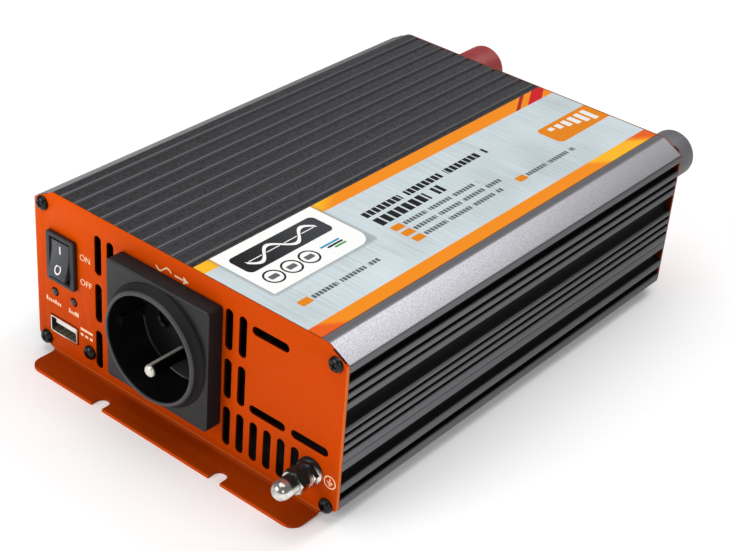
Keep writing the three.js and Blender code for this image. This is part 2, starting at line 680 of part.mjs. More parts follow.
function rearTerminals() {
  for (const { name, x, z } of terminals) {
    const studR = TERMINAL.stud / 2;
    const washerAt = TERMINAL.bushHeight;
    const knobAt = washerAt + TERMINAL.washerHeight;
    const end = knobAt + TERMINAL.knobLength;
    const studEnd = rearFace + end - TERMINAL.studShort;
    const boreEnd = end - TERMINAL.studShort + TERMINAL.endGap;
    addPart(`terminal_stud_${name}`, rod(x, z, studR, rearFace - TERMINAL.innerReach, studEnd, 12), "brass");

    // The bush: a flange outside the panel and a sleeve through it.
    const bore = studR + SLIP;
    const sleeve = studR + TERMINAL.bushWall;
    const flangeR = TERMINAL.bush / 2;
    const sleeveEnd = -TERMINAL.sleeve;
    const bush = [
      [bore, sleeveEnd], [sleeve, sleeveEnd], [sleeve, 0], [flangeR, 0], [flangeR, washerAt - 0.8],
      [flangeR - 0.8, washerAt], [bore, washerAt], [bore, sleeveEnd],
    ];
    addPart(`terminal_bush_${name}`, turned(bush, x, z, rearFace, 1), "blackPlastic");

    const hole = studR + CLEARANCE;
    const w = TERMINAL.washer / 2;
    addPart(`clamp_washer_${name}`, turned([
      [hole, washerAt], [w, washerAt], [w, knobAt], [hole, knobAt], [hole, washerAt],
    ], x, z, rearFace, 1, 16), "bright");

    const k = TERMINAL.knob / 2;
    const knob = turned([
      [0, boreEnd], [hole, boreEnd], [hole, knobAt], [k - 1, knobAt], [k, knobAt + 1], [k, end - 2.4],
      [k - 0.7, end - 0.8], [k - 2.2, end], [0, end],
    ], x, z, rearFace, 1);
    addPart(`terminal_knob_${name}`, knob, name === "positive" ? "redPlastic" : "greyPlastic");
  }
}

// ---------------------------------------------------------------- fan

// One blade lying along X from the hub's inside to the duct, its chord twisting and widening outwards.
function fanBlade(rootX, tipX) {
  const span = tipX - rootX;
  const blade = new THREE.BoxGeometry(span, FAN.bladeThickness, FAN.chord, 3, 1, 1);
  const points = blade.attributes.position;
  for (let i = 0; i < points.count; i += 1) {
    const along = points.getX(i) / span + 0.5;
    const twist = THREE.MathUtils.degToRad(THREE.MathUtils.lerp(FAN.rootTwist, FAN.tipTwist, along));
    const y = points.getY(i);
    const z = points.getZ(i) * THREE.MathUtils.lerp(0.72, 1, along);
    points.setY(i, y * Math.cos(twist) - z * Math.sin(twist));
    points.setZ(i, y * Math.sin(twist) + z * Math.cos(twist));
  }
  return blade.translate((rootX + tipX) / 2, 0, 0);
}

function fan() {
  const y1 = rearY;
  const y0 = rearY - FAN.depth;
  const ductR = fanDuct / 2;
  const motorR = FAN.hub / 2;
  const motorBack = y0 + FAN.strutDepth;
  const screwHoles = fanScrewPlaces.map(([x, z]) => circle(x, z, shankHole, SMALL));
  const square = roundedRect(fanX, fanZ, FAN.size, FAN.size, FAN.corner, 3);
  const frame = extrudeY(shapeOf(square, [circle(fanX, fanZ, ductR, LARGE), ...screwHoles]), y0, y1);
  const motor = rod(fanX, fanZ, motorR, y0, motorBack);
  const struts = [45, 135, 225, 315].map((angle) => {
    const strut = block(motorR - 1, ductR + 1, y0, motorBack, -FAN.strut / 2, FAN.strut / 2);
    return strut.rotateY(THREE.MathUtils.degToRad(angle)).translate(fanX, 0, fanZ);
  });
  const shaftHole = rod(fanX, fanZ, FAN.shaft / 2 + SLIP, y0 - 1, motorBack + 1, SMALL);
  addPart("fan_frame", cut(join(frame, motor, ...struts), shaftHole), "blackPlastic");

  const shaftR = FAN.shaft / 2;
  const hubBack = FAN.strutDepth + CLEARANCE;
  const hubFront = FAN.depth - 1.2;
  const hubR = motorR - 0.5;
  const hub = turned([
    [0, 0], [shaftR, 0], [shaftR, hubBack], [hubR, hubBack], [hubR, hubFront - 0.8], [hubR - 0.8, hubFront],
    [0, hubFront],
  ], fanX, fanZ, y0, 1);
  const bladeR = ductR - FAN.tipGap;
  const blades = Array.from({ length: FAN.blades }, (_, i) => {
    const blade = fanBlade(motorR - 2, bladeR + 0.5).translate(0, y0 + (hubBack + hubFront) / 2, 0);
    return blade.rotateY(2 * Math.PI * i / FAN.blades).translate(fanX, 0, fanZ);
  });
  const sweepR = motorR - 1;
  const sweep = turned([
    [sweepR, hubBack], [bladeR, hubBack], [bladeR, hubFront], [sweepR, hubFront], [sweepR, hubBack],
  ], fanX, fanZ, y0, 1, LARGE);
  const trimmed = toSolid(join(...blades)).intersect(toSolid(sweep));
  addPart("fan_rotor", join(hub, toGeometry(trimmed)), "blackPlastic");
}

function fanGuard() {
  const wire = GUARD.wire / 2;
  const planeY = rearFace + wire;
  const lugReach = fanPitch / 2 * Math.SQRT2;
  const ringR = GUARD.rings.map((share) => share * fanDuct / 2);
  const rings = ringR.map((radius) => {
    const ring = new THREE.TorusGeometry(radius, wire, 4, 24);
    return ring.rotateX(Math.PI / 2).translate(fanX, planeY, fanZ);
  });
  const spokes = [45, 135, 225, 315].map((angle) => {
    const inner = ringR[0] - wire;
    const spoke = block(inner, lugReach - 2, planeY - wire, planeY + wire, -wire, wire);
    return spoke.rotateY(THREE.MathUtils.degToRad(angle)).translate(fanX, 0, fanZ);
  });
  const top = rearFace + GUARD.wire;
  const lugs = fanScrewPlaces.map(([x, z]) => rod(x, z, GUARD.lug / 2, rearFace, top, SMALL));
  const holes = fanScrewPlaces.map(([x, z]) => rod(x, z, shankHole, rearFace - 1, top + 1, SMALL));
  addPart("fan_guard", cut(join(...rings, ...spokes, ...lugs), ...holes), "blackSteel");
  fanScrewPlaces.forEach(([x, z], i) => {
    panScrew(`fan_screw_${i + 1}`, x, z, top, 1);
  });
}

// ---------------------------------------------------------------- circuit board and what it carries

const TRANSFORMER = {
  x: -22, y: [-20, 24], width: 36, depth: 12, height: 34, yoke: 6, leg: 6, centreLeg: 10, coilDepth: 26,
};
const BANK = {
  y: 6, length: 104, bottom: 11, height: 14, strip: 1.2, body: 4.4, bodyWidth: 10, leadAt: 3.6, count: 6,
};
const INPUT_CAPACITOR = { x: 22, y: boardRear - 21, diameter: 18, height: 32 };
const OUTPUT_CAPACITOR = { x: 6, y: boardFront + 23, diameter: 16, height: 30 };
const CHOKE = { x: 30, y: boardFront + 39, ring: 11, section: 5 };
const DC_LEAD = { diameter: 6, landingY: boardRear - 17 };
const AC_LEAD = { diameter: 3, landingY: boardFront + 7 };

function upright(profile, x, y, z, sides = 16) {
  const geometry = new THREE.LatheGeometry(profile.map(([r, h]) => new THREE.Vector2(r, h)), sides);
  return geometry.rotateX(Math.PI / 2).translate(x, y, z);
}

function transformers() {
  const { x, width, depth, height, yoke, leg, centreLeg, coilDepth } = TRANSFORMER;
  const z0 = boardTop;
  const z1 = boardTop + height;
  const windowIn = centreLeg / 2;
  const windowOut = width / 2 - leg;
  TRANSFORMER.y.forEach((y, i) => {
    const windows = [-1, 1].map((s) => {
      const edges = [x + s * windowIn, x + s * windowOut].sort((a, b) => a - b);
      return block(...edges, y - depth, y + depth, z0 + yoke, z1 - yoke);
    });
    const core = cut(block(x - width / 2, x + width / 2, y - depth / 2, y + depth / 2, z0, z1), ...windows);
    addPart(`transformer_core_${i + 1}`, core, "ferrite");

    const outer = roundedRect(x, y, 2 * (windowOut - CLEARANCE), coilDepth, 3, 3);
    const inner = roundedRect(x, y, centreLeg + 2 * CLEARANCE, depth + 2 * CLEARANCE, 0.2, 1);
    const coil = extrudeZ(shapeOf(outer, [inner]), z0 + yoke + CLEARANCE, z1 - yoke - CLEARANCE);
    addPart(`transformer_winding_${i + 1}`, coil, "winding");
  });
}

function capacitor(name, { x, y, diameter, height }) {
  const r = diameter / 2;
  const profile = [[0, 0], [r, 0], [r, height - 0.8], [r - 0.8, height], [0, height]];
  addPart(name, upright(profile, x, y, boardTop), "capacitor");
}

// Transistors in a row, clamped by their common strip to the case wall, with their leads in the board.
function transistorBank(name, side) {
  const wall = innerHalf;
  const z0 = BANK.bottom;
  const z1 = BANK.bottom + BANK.height;
  const across = (from, to) => [side * (wall - from), side * (wall - to)].sort((a, b) => a - b);
  const strip = block(...across(0, BANK.strip), BANK.y - BANK.length / 2, BANK.y + BANK.length / 2, z0, z1);
  const pitch = (BANK.length - BANK.bodyWidth) / (BANK.count - 1);
  const bodies = Array.from({ length: BANK.count }, (_, i) => {
    const y = BANK.y - BANK.length / 2 + BANK.bodyWidth / 2 + i * pitch;
    const half = BANK.bodyWidth / 2;
    const body = block(...across(BANK.strip / 2, BANK.strip + BANK.body), y - half, y + half, z0, z1);
    const leads = block(...across(BANK.leadAt, BANK.leadAt + 1), y - 3, y + 3, boardTop, z0 + 1);
    return join(body, leads);
  });
  addPart(name, join(strip, ...bodies), "blackPlastic");
}

function mainBoard() {
  addPart("main_board", block(-boardHalf, boardHalf, boardFront, boardRear, boardZ, boardTop), "board");
  transformers();
  capacitor("input_capacitor", INPUT_CAPACITOR);
  capacitor("output_capacitor", OUTPUT_CAPACITOR);
  transistorBank("transistor_bank_left", -1);
  transistorBank("transistor_bank_right", 1);
  const choke = new THREE.TorusGeometry(CHOKE.ring, CHOKE.section, 8, 20);
  addPart("output_choke", choke.translate(CHOKE.x, CHOKE.y, boardTop + CHOKE.section), "copper");
}

function leads() {
  const studEnd = rearFace - TERMINAL.innerReach - CLEARANCE;
  for (const { name, x, z } of terminals) {
    const landing = DC_LEAD.landingY;
    const route = [
      [x, studEnd, z], [x, studEnd - 6, z], [x, landing + 4, z - 12],
      [x, landing, 24], [x, landing, 14], [x, landing, boardTop + CLEARANCE],
    ];
    const sleeve = name === "positive" ? "redCable" : "blackCable";
    addPart(`dc_lead_${name}`, cable(route, DC_LEAD.diameter / 2, 14), sleeve);
  }
  const contactEnd = frontFace + OUTLET.backDepth + CONTACT.tail + CLEARANCE;
  [["line", -1], ["neutral", 1]].forEach(([name, s]) => {
    const x = OUTLET.x + s * CONTACT.spacing / 2;
    const route = [
      [x, contactEnd, OUTLET.z], [x, contactEnd + 5, OUTLET.z], [x, AC_LEAD.landingY - 1.5, OUTLET.z - 9],
      [x, AC_LEAD.landingY, 20], [x, AC_LEAD.landingY, 12], [x, AC_LEAD.landingY, boardTop + CLEARANCE],
    ];
    addPart(`ac_lead_${name}`, cable(route, AC_LEAD.diameter / 2, 14), "blackCable");
  });
}

// ---------------------------------------------------------------- assembly

upperCasing();
lowerCasing();
topLabel();
frontPanel();
rearPanel();
screws();
rockerSwitch();
lamps();
usbSocket();
outlet();
groundTerminal();
rearTerminals();
fan();
fanGuard();
mainBoard();
leads();

export default model;
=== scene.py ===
"""The looks of a mobile power inverter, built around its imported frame.

Pieces are drawn in millimetres, in the frame's own directions: X to the right seen from the front panel,
Y from the front panel to the rear, Z up. They are scaled to metres when they are finished.
"""

import math
import bmesh
import bpy
from mathutils import Matrix, Vector


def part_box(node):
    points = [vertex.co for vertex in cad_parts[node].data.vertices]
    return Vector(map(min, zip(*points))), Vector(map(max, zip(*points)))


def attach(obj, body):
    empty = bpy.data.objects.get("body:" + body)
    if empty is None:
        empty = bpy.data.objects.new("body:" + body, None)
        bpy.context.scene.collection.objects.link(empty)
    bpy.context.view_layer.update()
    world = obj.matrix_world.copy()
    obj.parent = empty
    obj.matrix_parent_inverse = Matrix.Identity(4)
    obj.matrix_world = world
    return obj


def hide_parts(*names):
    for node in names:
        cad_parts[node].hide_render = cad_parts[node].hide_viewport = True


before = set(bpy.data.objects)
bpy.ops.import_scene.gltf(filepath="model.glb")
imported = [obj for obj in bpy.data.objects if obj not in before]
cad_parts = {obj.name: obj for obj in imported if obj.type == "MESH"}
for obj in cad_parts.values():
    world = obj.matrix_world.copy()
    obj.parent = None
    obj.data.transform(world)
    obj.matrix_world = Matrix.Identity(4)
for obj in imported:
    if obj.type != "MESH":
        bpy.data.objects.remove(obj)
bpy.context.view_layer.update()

bl_info = {
    "name": "Power Inverter Looks",
    "version": (1, 0, 0),
    "blender": (4, 5, 0),
    "location": "3D View > Sidebar > Inverter",
    "description": "Builds the finished surfaces, panels, sockets and terminals of a power inverter",
    "category": "Add Mesh",
}

MM = 0.001
FRONT, REAR = -1, 1

# ---------------------------------------------------------------- places read from the frame


def span(node):
    """Lowest and highest corner of a frame node, in millimetres."""
    low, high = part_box(node)
    return low / MM, high / MM


def middle(node):
    """The centre of a frame node's box, in millimetres."""
    low, high = span(node)
    return (low + high) / 2


CASE_LOW, CASE_HIGH = span("upper_casing")
LABEL_LOW, LABEL_HIGH = span("top_label")
HALF = CASE_HIGH.x
TOP = CASE_HIGH.z
FRONT_Y, REAR_Y = CASE_LOW.y, CASE_HIGH.y
SHEET = 1.2
FRONT_FACE, REAR_FACE = FRONT_Y - SHEET, REAR_Y + SHEET
SPLIT = span("lower_casing")[1].z
SHOULDER_RUN, SHOULDER_RISE = 9.0, 4.8
FOOT_RUN, FOOT_RISE = 9.0, 6.2
WALL = 6.8

# The side fins from the shoulder down: f is a fin's height, g a narrow groove's, r a wide round recess's.
UPPER_FINS = [
    ("f", 4.2), ("g", 3.0), ("f", 2.4), ("g", 1.8), ("f", 2.2), ("g", 1.6), ("f", 2.7), ("r", 8.1),
    ("f", 1.6), ("g", 1.6), ("f", 2.1), ("g", 1.6), ("f", 2.1), ("g", 1.6), ("f", 3.3),
]
LOWER_FINS = [("f", 3.6), ("r", 6.1), ("f", 3.1), ("g", 3.4), ("f", 3.6)]
GROOVE_DEPTH, RECESS_DEPTH = 2.6, 3.0
RIB_PITCH, RIB_GROOVE, RIB_DEPTH = 7.0, 1.6, 1.0
LABEL_LEDGE = 1.6
ROOF, FLOOR = 3.3, 2.4

# The foot of each end panel and its two open fixing slots.
BEND = 2.2
FLANGE_INSET, FLANGE_REACH, FLANGE_CORNER = 8.0, 12.5, 5.0
FIXING_X, FIXING_HALF, FIXING_DEPTH = 29.8, 2.8, 5.7

CORNERS = ("top_left", "top_right", "bottom_left", "bottom_right")
FAN_SCREWS = tuple(f"fan_screw_{number}" for number in (1, 2, 3, 4))
SCREW_HOLE = 1.6
FAN_DUCT = 28.2

# ---------------------------------------------------------------- drawing helpers


def rgb(red, green, blue):
    """A screen colour as the linear values that a material takes."""
    def linear(value):
        share = value / 255
        return share / 12.92 if share <= 0.04045 else ((share + 0.055) / 1.055) ** 2.4
    return tuple(linear(v) for v in (red, green, blue))


def place_on(plane, u, v, at):
    """A point of a flat drawing; plane names the two directions it lies in."""
    return {
        "xz": Vector((u, at, v)),
        "yz": Vector((at, u, v)),
        "xy": Vector((u, v, at)),
    }[plane]


def outline(bm, points, plane="xz", at=0.0, segments=4):
    """A flat face from points (u, v) or (u, v, rounding)."""
    verts = [bm.verts.new(place_on(plane, p[0], p[1], at)) for p in points]
    bm.faces.new(verts)
    rounds = sorted({p[2] for p in points if len(p) > 2 and p[2] > 0})
    made = set(verts)
    for rounding in rounds:
        corners = [v for v, p in zip(verts, points) if len(p) > 2 and p[2] == rounding and v.is_valid]
        turned = bmesh.ops.bevel(
            bm, geom=corners, offset=rounding, offset_type="OFFSET", affect="VERTICES",
            segments=segments, profile=0.5, material=-1, clamp_overlap=True,
        )
        made.update(turned["verts"])
    made = {v for v in made if v.is_valid}
    return [f for f in bm.faces if all(v in made for v in f.verts)][0]


def prism(bm, points, plane, start, end, segments=4):
    """A rounded outline pushed out from start to end."""
    face = outline(bm, points, plane, start, segments)
    out = bmesh.ops.extrude_face_region(bm, geom=[face], use_keep_orig=True)
    moved = [e for e in out["geom"] if isinstance(e, bmesh.types.BMVert)]
    step = place_on(plane, 0, 0, end - start)
    bmesh.ops.translate(bm, vec=step, verts=moved)
    bmesh.ops.recalc_face_normals(bm, faces=linked(moved))


def linked(verts):
    """Every face joined to these vertices."""
    todo, seen = list(verts), set(verts)
    while todo:
        for edge in todo.pop().link_edges:
            for v in edge.verts:
                if v not in seen:
                    seen.add(v)
                    todo.append(v)
    return list({f for v in seen for f in v.link_faces})


def rectangle(x, z, width, height, rounding):
    """A drawing of a rectangle about x and z, its corners rounded."""
    left, right, low, high = x - width / 2, x + width / 2, z - height / 2, z + height / 2
    return [(left, low, rounding), (right, low, rounding), (right, high, rounding), (left, high, rounding)]


def rod(bm, radius, sides, start, end, x=0.0, z=0.0, along="Y", turn=0.0):
    """A straight round bar along Y at x and z, or along X through the origin."""
    centre = (x, (start + end) / 2, z) if along == "Y" else ((start + end) / 2, 0, 0)
    lay = Matrix.Rotation(math.radians(90), 4, "X" if along == "Y" else "Y")
    bmesh.ops.create_cone(
        bm, cap_ends=True, cap_tris=False, segments=sides, radius1=radius, radius2=radius, depth=end - start,
        matrix=Matrix.Translation(centre) @ Matrix.Rotation(turn, 4, "Y") @ lay,
    )


def drill(bm, nodes, radius, sides, start, end):
    """Round cutters along Y through the middle of each node."""
    for node in nodes:
        place = middle(node)
        rod(bm, radius, sides, start, end, place.x, place.z)


def swing(bm, angle, place, axis="Y"):
    """Turns a shape about the origin and carries it to its place."""
    bmesh.ops.rotate(bm, cent=(0, 0, 0), matrix=Matrix.Rotation(angle, 3, axis), verts=bm.verts)
    bmesh.ops.translate(bm, vec=place, verts=bm.verts)


def turned(bm, profile, x, z, datum, side, steps=48):
    """A piece turned about the Y direction. profile is (radius, reach) or (radius, reach, rounding);
    reach runs outwards from the plane y = datum."""
    face = outline(bm, [(p[0], side * p[1], *p[2:]) for p in profile], "xy", 0.0)
    verts, edges = list(face.verts), list(face.edges)
    bmesh.ops.delete(bm, geom=[face], context="FACES_ONLY")
    axis = [e for e in edges if e.is_valid and all(abs(v.co.x) < 1e-6 for v in e.verts)]
    bmesh.ops.delete(bm, geom=axis, context="EDGES")
    edges = [e for e in edges if e.is_valid]
    verts = [v for v in verts if v.is_valid]
    return spun(bm, verts, edges, (x, datum, z), steps)


def spun(bm, verts, edges, place, steps):
    """Spins a profile right round the Y direction and carries the closed shape to its place."""
    bmesh.ops.spin(
        bm, geom=verts + edges, cent=(0, 0, 0), axis=(0, 1, 0), dvec=(0, 0, 0),
        angle=2 * math.pi, steps=steps, use_merge=True, use_duplicate=False,
    )
    shell = linked([v for v in verts if v.is_valid])
    around = list({v for f in shell for v in f.verts})
    bmesh.ops.remove_doubles(bm, verts=around, dist=1e-4)
    around = [v for v in around if v.is_valid]
    bmesh.ops.translate(bm, vec=place, verts=around)
    bmesh.ops.recalc_face_normals(bm, faces=list({f for v in around for f in v.link_faces}))


def hoop(bm, radius, wire, place):
    """A closed ring of round wire about the Y direction, lying on the plane of its place."""
    circle = bmesh.ops.create_circle(
        bm, cap_ends=False, segments=12, radius=wire, matrix=Matrix.Translation((radius, wire, 0)))
    verts = circle["verts"]
    spun(bm, verts, list({e for v in verts for e in v.link_edges}), place, 96)


def soften(bm, width, segments=2, angle=35):
    """Rounds the edges that are sharper than angle."""
    sharp = [e for e in bm.edges if e.is_manifold and e.calc_face_angle(0) > math.radians(angle)]
    bmesh.ops.bevel(
        bm, geom=sharp, offset=width, offset_type="OFFSET", affect="EDGES", segments=segments,
        profile=0.5, material=-1, clamp_overlap=True,
    )


def mesh_of(bm, name):
    mesh = bpy.data.meshes.new(name)
    bm.to_mesh(mesh)
    bm.free()
    return mesh


def loose_object(bm, name):
    """A working object for a cut, removed again afterwards."""
    obj = bpy.data.objects.new(name, mesh_of(bm, name))
    bpy.context.scene.collection.objects.link(obj)
    return obj


def add_to(bm, part):
    """Puts a finished shape into another beside what it already holds."""
    mesh = mesh_of(part, "part")
    bm.from_mesh(mesh)
    bpy.data.meshes.remove(mesh)


def combine(first, second, operation):
    """Joins or cuts two closed shapes and returns the result as a new one."""
    a, b = loose_object(first, "work_a"), loose_object(second, "work_b")
    change = a.modifiers.new("combine", "BOOLEAN")
    change.operation, change.solver, change.object = operation, "EXACT", b
    bpy.context.view_layer.update()
    result = bpy.data.meshes.new_from_object(a.evaluated_get(bpy.context.evaluated_depsgraph_get()))
    bm = bmesh.new()
    bm.from_mesh(result)
    for obj in (a, b):
        mesh = obj.data
        bpy.data.objects.remove(obj)
        bpy.data.meshes.remove(mesh)
    bpy.data.meshes.remove(result)
    bmesh.ops.remove_doubles(bm, verts=bm.verts, dist=1e-4)
    return bm


def finish_piece(bm, name, finishes, body="root", stands_for=(), crease=32):
    """Makes a shape into a named piece in its place, riding on its body."""
    bmesh.ops.scale(bm, vec=(MM, MM, MM), verts=bm.verts)
    mesh = mesh_of(bm, name)
    mesh.polygons.foreach_set("use_smooth", [True] * len(mesh.polygons))
    mesh.set_sharp_from_angle(angle=math.radians(crease))
    for finish in finishes if isinstance(finishes, (list, tuple)) else [finishes]:
        mesh.materials.append(finish)
    obj = bpy.data.objects.new(name, mesh)
    bpy.context.scene.collection.objects.link(obj)
    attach(obj, body)
    if stands_for:
        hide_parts(*stands_for)
    return obj


def refinish(finish, *nodes):
    """Gives frame nodes that keep their own shape a better material."""
    for name in nodes:
        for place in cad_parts[name].material_slots:
            place.material = finish


# ---------------------------------------------------------------- materials


class Wire:
    """A socket of a material that can be used in sums."""

    def __init__(self, finish, socket):
        self.finish, self.socket = finish, socket

    def sum(self, operation, *values):
        return self.finish.wire("ShaderNodeMath", {"operation": operation}, dict(enumerate(values)))

    def __add__(self, other):
        return self.sum("ADD", self, other)

    def __radd__(self, other):
        return self.sum("ADD", other, self)

    def __sub__(self, other):
        return self.sum("SUBTRACT", self, other)

    def __rsub__(self, other):
        return self.sum("SUBTRACT", other, self)

    def __mul__(self, other):
        return self.sum("MULTIPLY", self, other)

    def __rmul__(self, other):
        return self.sum("MULTIPLY", other, self)

    def __mod__(self, other):
        return self.sum("FLOORED_MODULO", self, other)

    def __gt__(self, other):
        return self.sum("GREATER_THAN", self, other)

    def __lt__(self, other):
        return self.sum("LESS_THAN", self, other)

    def __abs__(self):
        return self.sum("ABSOLUTE", self)

    def at_least(self, other):
        return self.sum("MAXIMUM", self, other)

    def at_most(self, other):
        return self.sum("MINIMUM", self, other)

    def sine(self):
        return self.sum("SINE", self)

    def root(self):
        return self.sum("SQRT", self)

    def turn_from(self, other):
        """The angle of the arrow whose height is this and whose width is other."""
        return self.sum("ARCTAN2", self, other)

    def fade(self, start, end, datum=0.0):
        """0 before start, 1 after end, both measured from datum, and a smooth step between them."""
        return self.finish.wire(
            "ShaderNodeMapRange", {"interpolation_type": "SMOOTHSTEP"},
            {"Value": self, "From Min": datum + start, "From Max": datum + end},
        )


class Finish:
    """A material built from nodes around one Principled shader."""

    def __init__(self, name, **constants):
        self.material = bpy.data.materials.new(name)
        self.material.use_nodes = True
        tree = self.material.node_tree
        self.nodes, self.links = tree.nodes, tree.links
        self.nodes.clear()
        self.surface = self.nodes.new("ShaderNodeBsdfPrincipled")
        end = self.nodes.new("ShaderNodeOutputMaterial")
        self.links.new(self.surface.outputs["BSDF"], end.inputs["Surface"])
        for socket, value in constants.items():
            self.set(socket.replace("_", " ").title().replace("Ior", "IOR"), value)
        where = self.wire("ShaderNodeTexCoord", output="Object")
        self.place = self.vector("SCALE", where, Scale=1 / MM)
        parts = self.node("ShaderNodeSeparateXYZ", None, {0: self.place})
        self.x, self.y, self.z = (Wire(self, parts.outputs[i]) for i in range(3))

    def node(self, kind, settings=None, inputs=None):
        made = self.nodes.new(kind)
        for name, value in (settings or {}).items():
            if name == "stops":
                ramp = made.color_ramp
                while len(ramp.elements) < len(value):
                    ramp.elements.new(0.5)
                for element, (position, colour) in zip(ramp.elements, value):
                    element.position, element.color = position, (*colour, 1)
            else:
                setattr(made, name, value)
        for key, value in (inputs or {}).items():
            if isinstance(value, Wire):
                self.links.new(value.socket, made.inputs[key])
            else:
                made.inputs[key].default_value = value
        return made

    def wire(self, kind, settings=None, inputs=None, output=0):
        return Wire(self, self.node(kind, settings, inputs).outputs[output])

    def vector(self, operation, first, second=None, **named):
        inputs = {0: first, **named}
        if second is not None:
            inputs[1] = second
        return self.wire("ShaderNodeVectorMath", {"operation": operation}, inputs)

    def noise(self, per_mm, stretch=(1, 1, 1), detail=2.0, rough=0.5):
        """Noise of so many cells a millimetre, drawn out along each direction by stretch."""
        cells = tuple(per_mm / s for s in stretch)
        return self.wire(
            "ShaderNodeTexNoise", None,
            {"Vector": self.vector("MULTIPLY", self.place, cells), "Scale": 1.0, "Detail": detail,
             "Roughness": rough},
        )

    def mix(self, share, first, second):
        """The first colour where share is 0, the second where it is 1."""
        colours = {}
        for key, colour in ((6, first), (7, second)):
            colours[key] = colour if isinstance(colour, Wire) else (*colour[:3], 1)
        return self.wire("ShaderNodeMix", {"data_type": "RGBA"}, {0: share, **colours}, output=2)

    def ramp(self, value, *stops):
        return self.wire("ShaderNodeValToRGB", {"stops": stops}, {0: value})

    def bump(self, height, depth, strength=1.0):
        inputs = {"Height": height, "Distance": depth * MM, "Strength": strength}
        return self.wire("ShaderNodeBump", None, inputs)

    def facing(self, direction):
        """How far the surface faces a direction of the object, from -1 to 1."""
        normal = self.wire("ShaderNodeTexCoord", output="Normal")
        return self.wire(
            "ShaderNodeVectorMath", {"operation": "DOT_PRODUCT"}, {0: normal, 1: direction}, output="Value")

    def set(self, socket, value):
        target = self.surface.inputs[socket]
        if isinstance(value, Wire):
            self.links.new(value.socket, target)
        elif isinstance(value, tuple):
            target.default_value = (*value, 1)
        else:
            target.default_value = value
        return self


def rounded_mask(u, v, cu, cv, half_u, half_v, radius):
    """1 inside a rounded rectangle and 0 outside."""
    du = (abs(u - cu) - (half_u - radius)).at_least(0.0)
    dv = (abs(v - cv) - (half_v - radius)).at_least(0.0)
    return (du * du + dv * dv) < radius * radius


def band(value, low, high):
    return (value > low) * (value < high)


FINISHES = {}


def finish(name):
    """The finished material of that name, made once."""
    if name not in FINISHES:
        FINISHES[name] = RECIPES[name](bpy.context.scene.inverter_colours)
    return FINISHES[name]


def anodised_aluminium(colours):
    f = Finish("anodised_aluminium", metallic=0.7)
    base = tuple(colours.anodised)

    def tint(times):
        return tuple(min(1, c * times) for c in base)

    grain = f.noise(2.6, (1, 1.3, 1), 4.0, 0.7)
    streak = f.noise(2.6, (1, 60, 1), 3.0, 0.6)
    back = f.y.fade(FRONT_Y, REAR_Y)
    shoulder = TOP - SHOULDER_RISE
    inward = HALF - abs(f.x)
    on_top = (f.z > TOP - 1.4) * (inward > SHOULDER_RUN - 0.4)

    # Painted light: fin faces are painted lighter at the front and darker towards the rear.
    tone = f.mix(back, tint(1.75), tint(0.95))
    tone = f.mix((grain - 0.5) * 1.6 + 0.5, f.mix(0.35, tone, tint(0.4)), tone)

    # Painted light and shade on the top planks: darkest at the front left, lighter to the rear and right, each
    # shading off towards its right-hand groove.
    across = (LABEL_LOW.x - 1.6 - f.x) % RIB_PITCH
    plank = f.mix(back, tint(0.6), tint(1.3))
    plank = f.mix(f.x.fade(-HALF, 10) * 0.5, plank, tint(0.9))
    plank = f.mix(across.fade(0.0, RIB_PITCH), f.mix(0.35, plank, tint(0.3)), plank)
    mottle = f.noise(0.9, (1, 0.8, 1), 3.0, 0.75)
    plank = f.mix((mottle - 0.5) * 3.2 + 0.5, f.mix(0.55, plank, tint(0.15)), f.mix(0.3, plank, tint(1.8)))
    ribbed = f.x < LABEL_LOW.x - 2
    # Painted highlight on the lit wall of each groove; painted shadow in and beside each groove.
    wall = band(across, RIB_GROOVE * 0.62, RIB_GROOVE * 1.4)
    plank = f.mix(wall * ribbed, plank, f.mix(back, tint(1.6), tint(1.1)))
    shadow = (1 - band(across, RIB_GROOVE * 0.62, RIB_PITCH - 0.55)) * ribbed * on_top
    plank = f.mix(shadow * (back * 0.3 + 0.5), plank, tint(0.06))
    strip = (f.x > LABEL_HIGH.x) * on_top
    plank = f.mix(strip, plank, f.mix(grain, tint(1.5), tint(3.0)))
    tone = f.mix(on_top, tone, plank)

    # Painted shade: groove floors and recesses are painted a deep black.
    side = (1 - f.z.fade(shoulder - 0.7, shoulder - 0.3)) * f.z.fade(FOOT_RISE - 0.8, FOOT_RISE + 0.4)
    deep = inward.fade(0.12, 0.95) * side
    tone = f.mix(deep, tone, tint(0.025))

    # Painted highlight: the sloping shoulder is painted light through its grain, most at the front and on the
    # right-hand side, less towards the rear.
    slope = (1 - inward.fade(SHOULDER_RUN - 0.5, SHOULDER_RUN)) * f.z.fade(shoulder - 0.1, shoulder + 0.3)
    slope = slope * (f.x.fade(-HALF, 0) * 0.8 + 0.2)
    speck = f.ramp(grain, (0.4, tint(4.4)), (0.6, tint(7.4)))
    tone = f.mix(slope, tone, f.mix(back, speck, f.ramp(grain, (0.4, tint(2.2)), (0.6, tint(3.0)))))

    f.set("Base Color", tone)
    f.set("Metallic", 0.72 - slope * 0.35)
    dull = deep * 0.3 + shadow * 0.4 + wall * ribbed * on_top * 0.2
    f.set("Roughness", 0.38 + grain * 0.12 + streak * 0.05 + dull)
    return f.set("Normal", f.bump(grain + streak * 0.4, 0.014, 0.4)).material


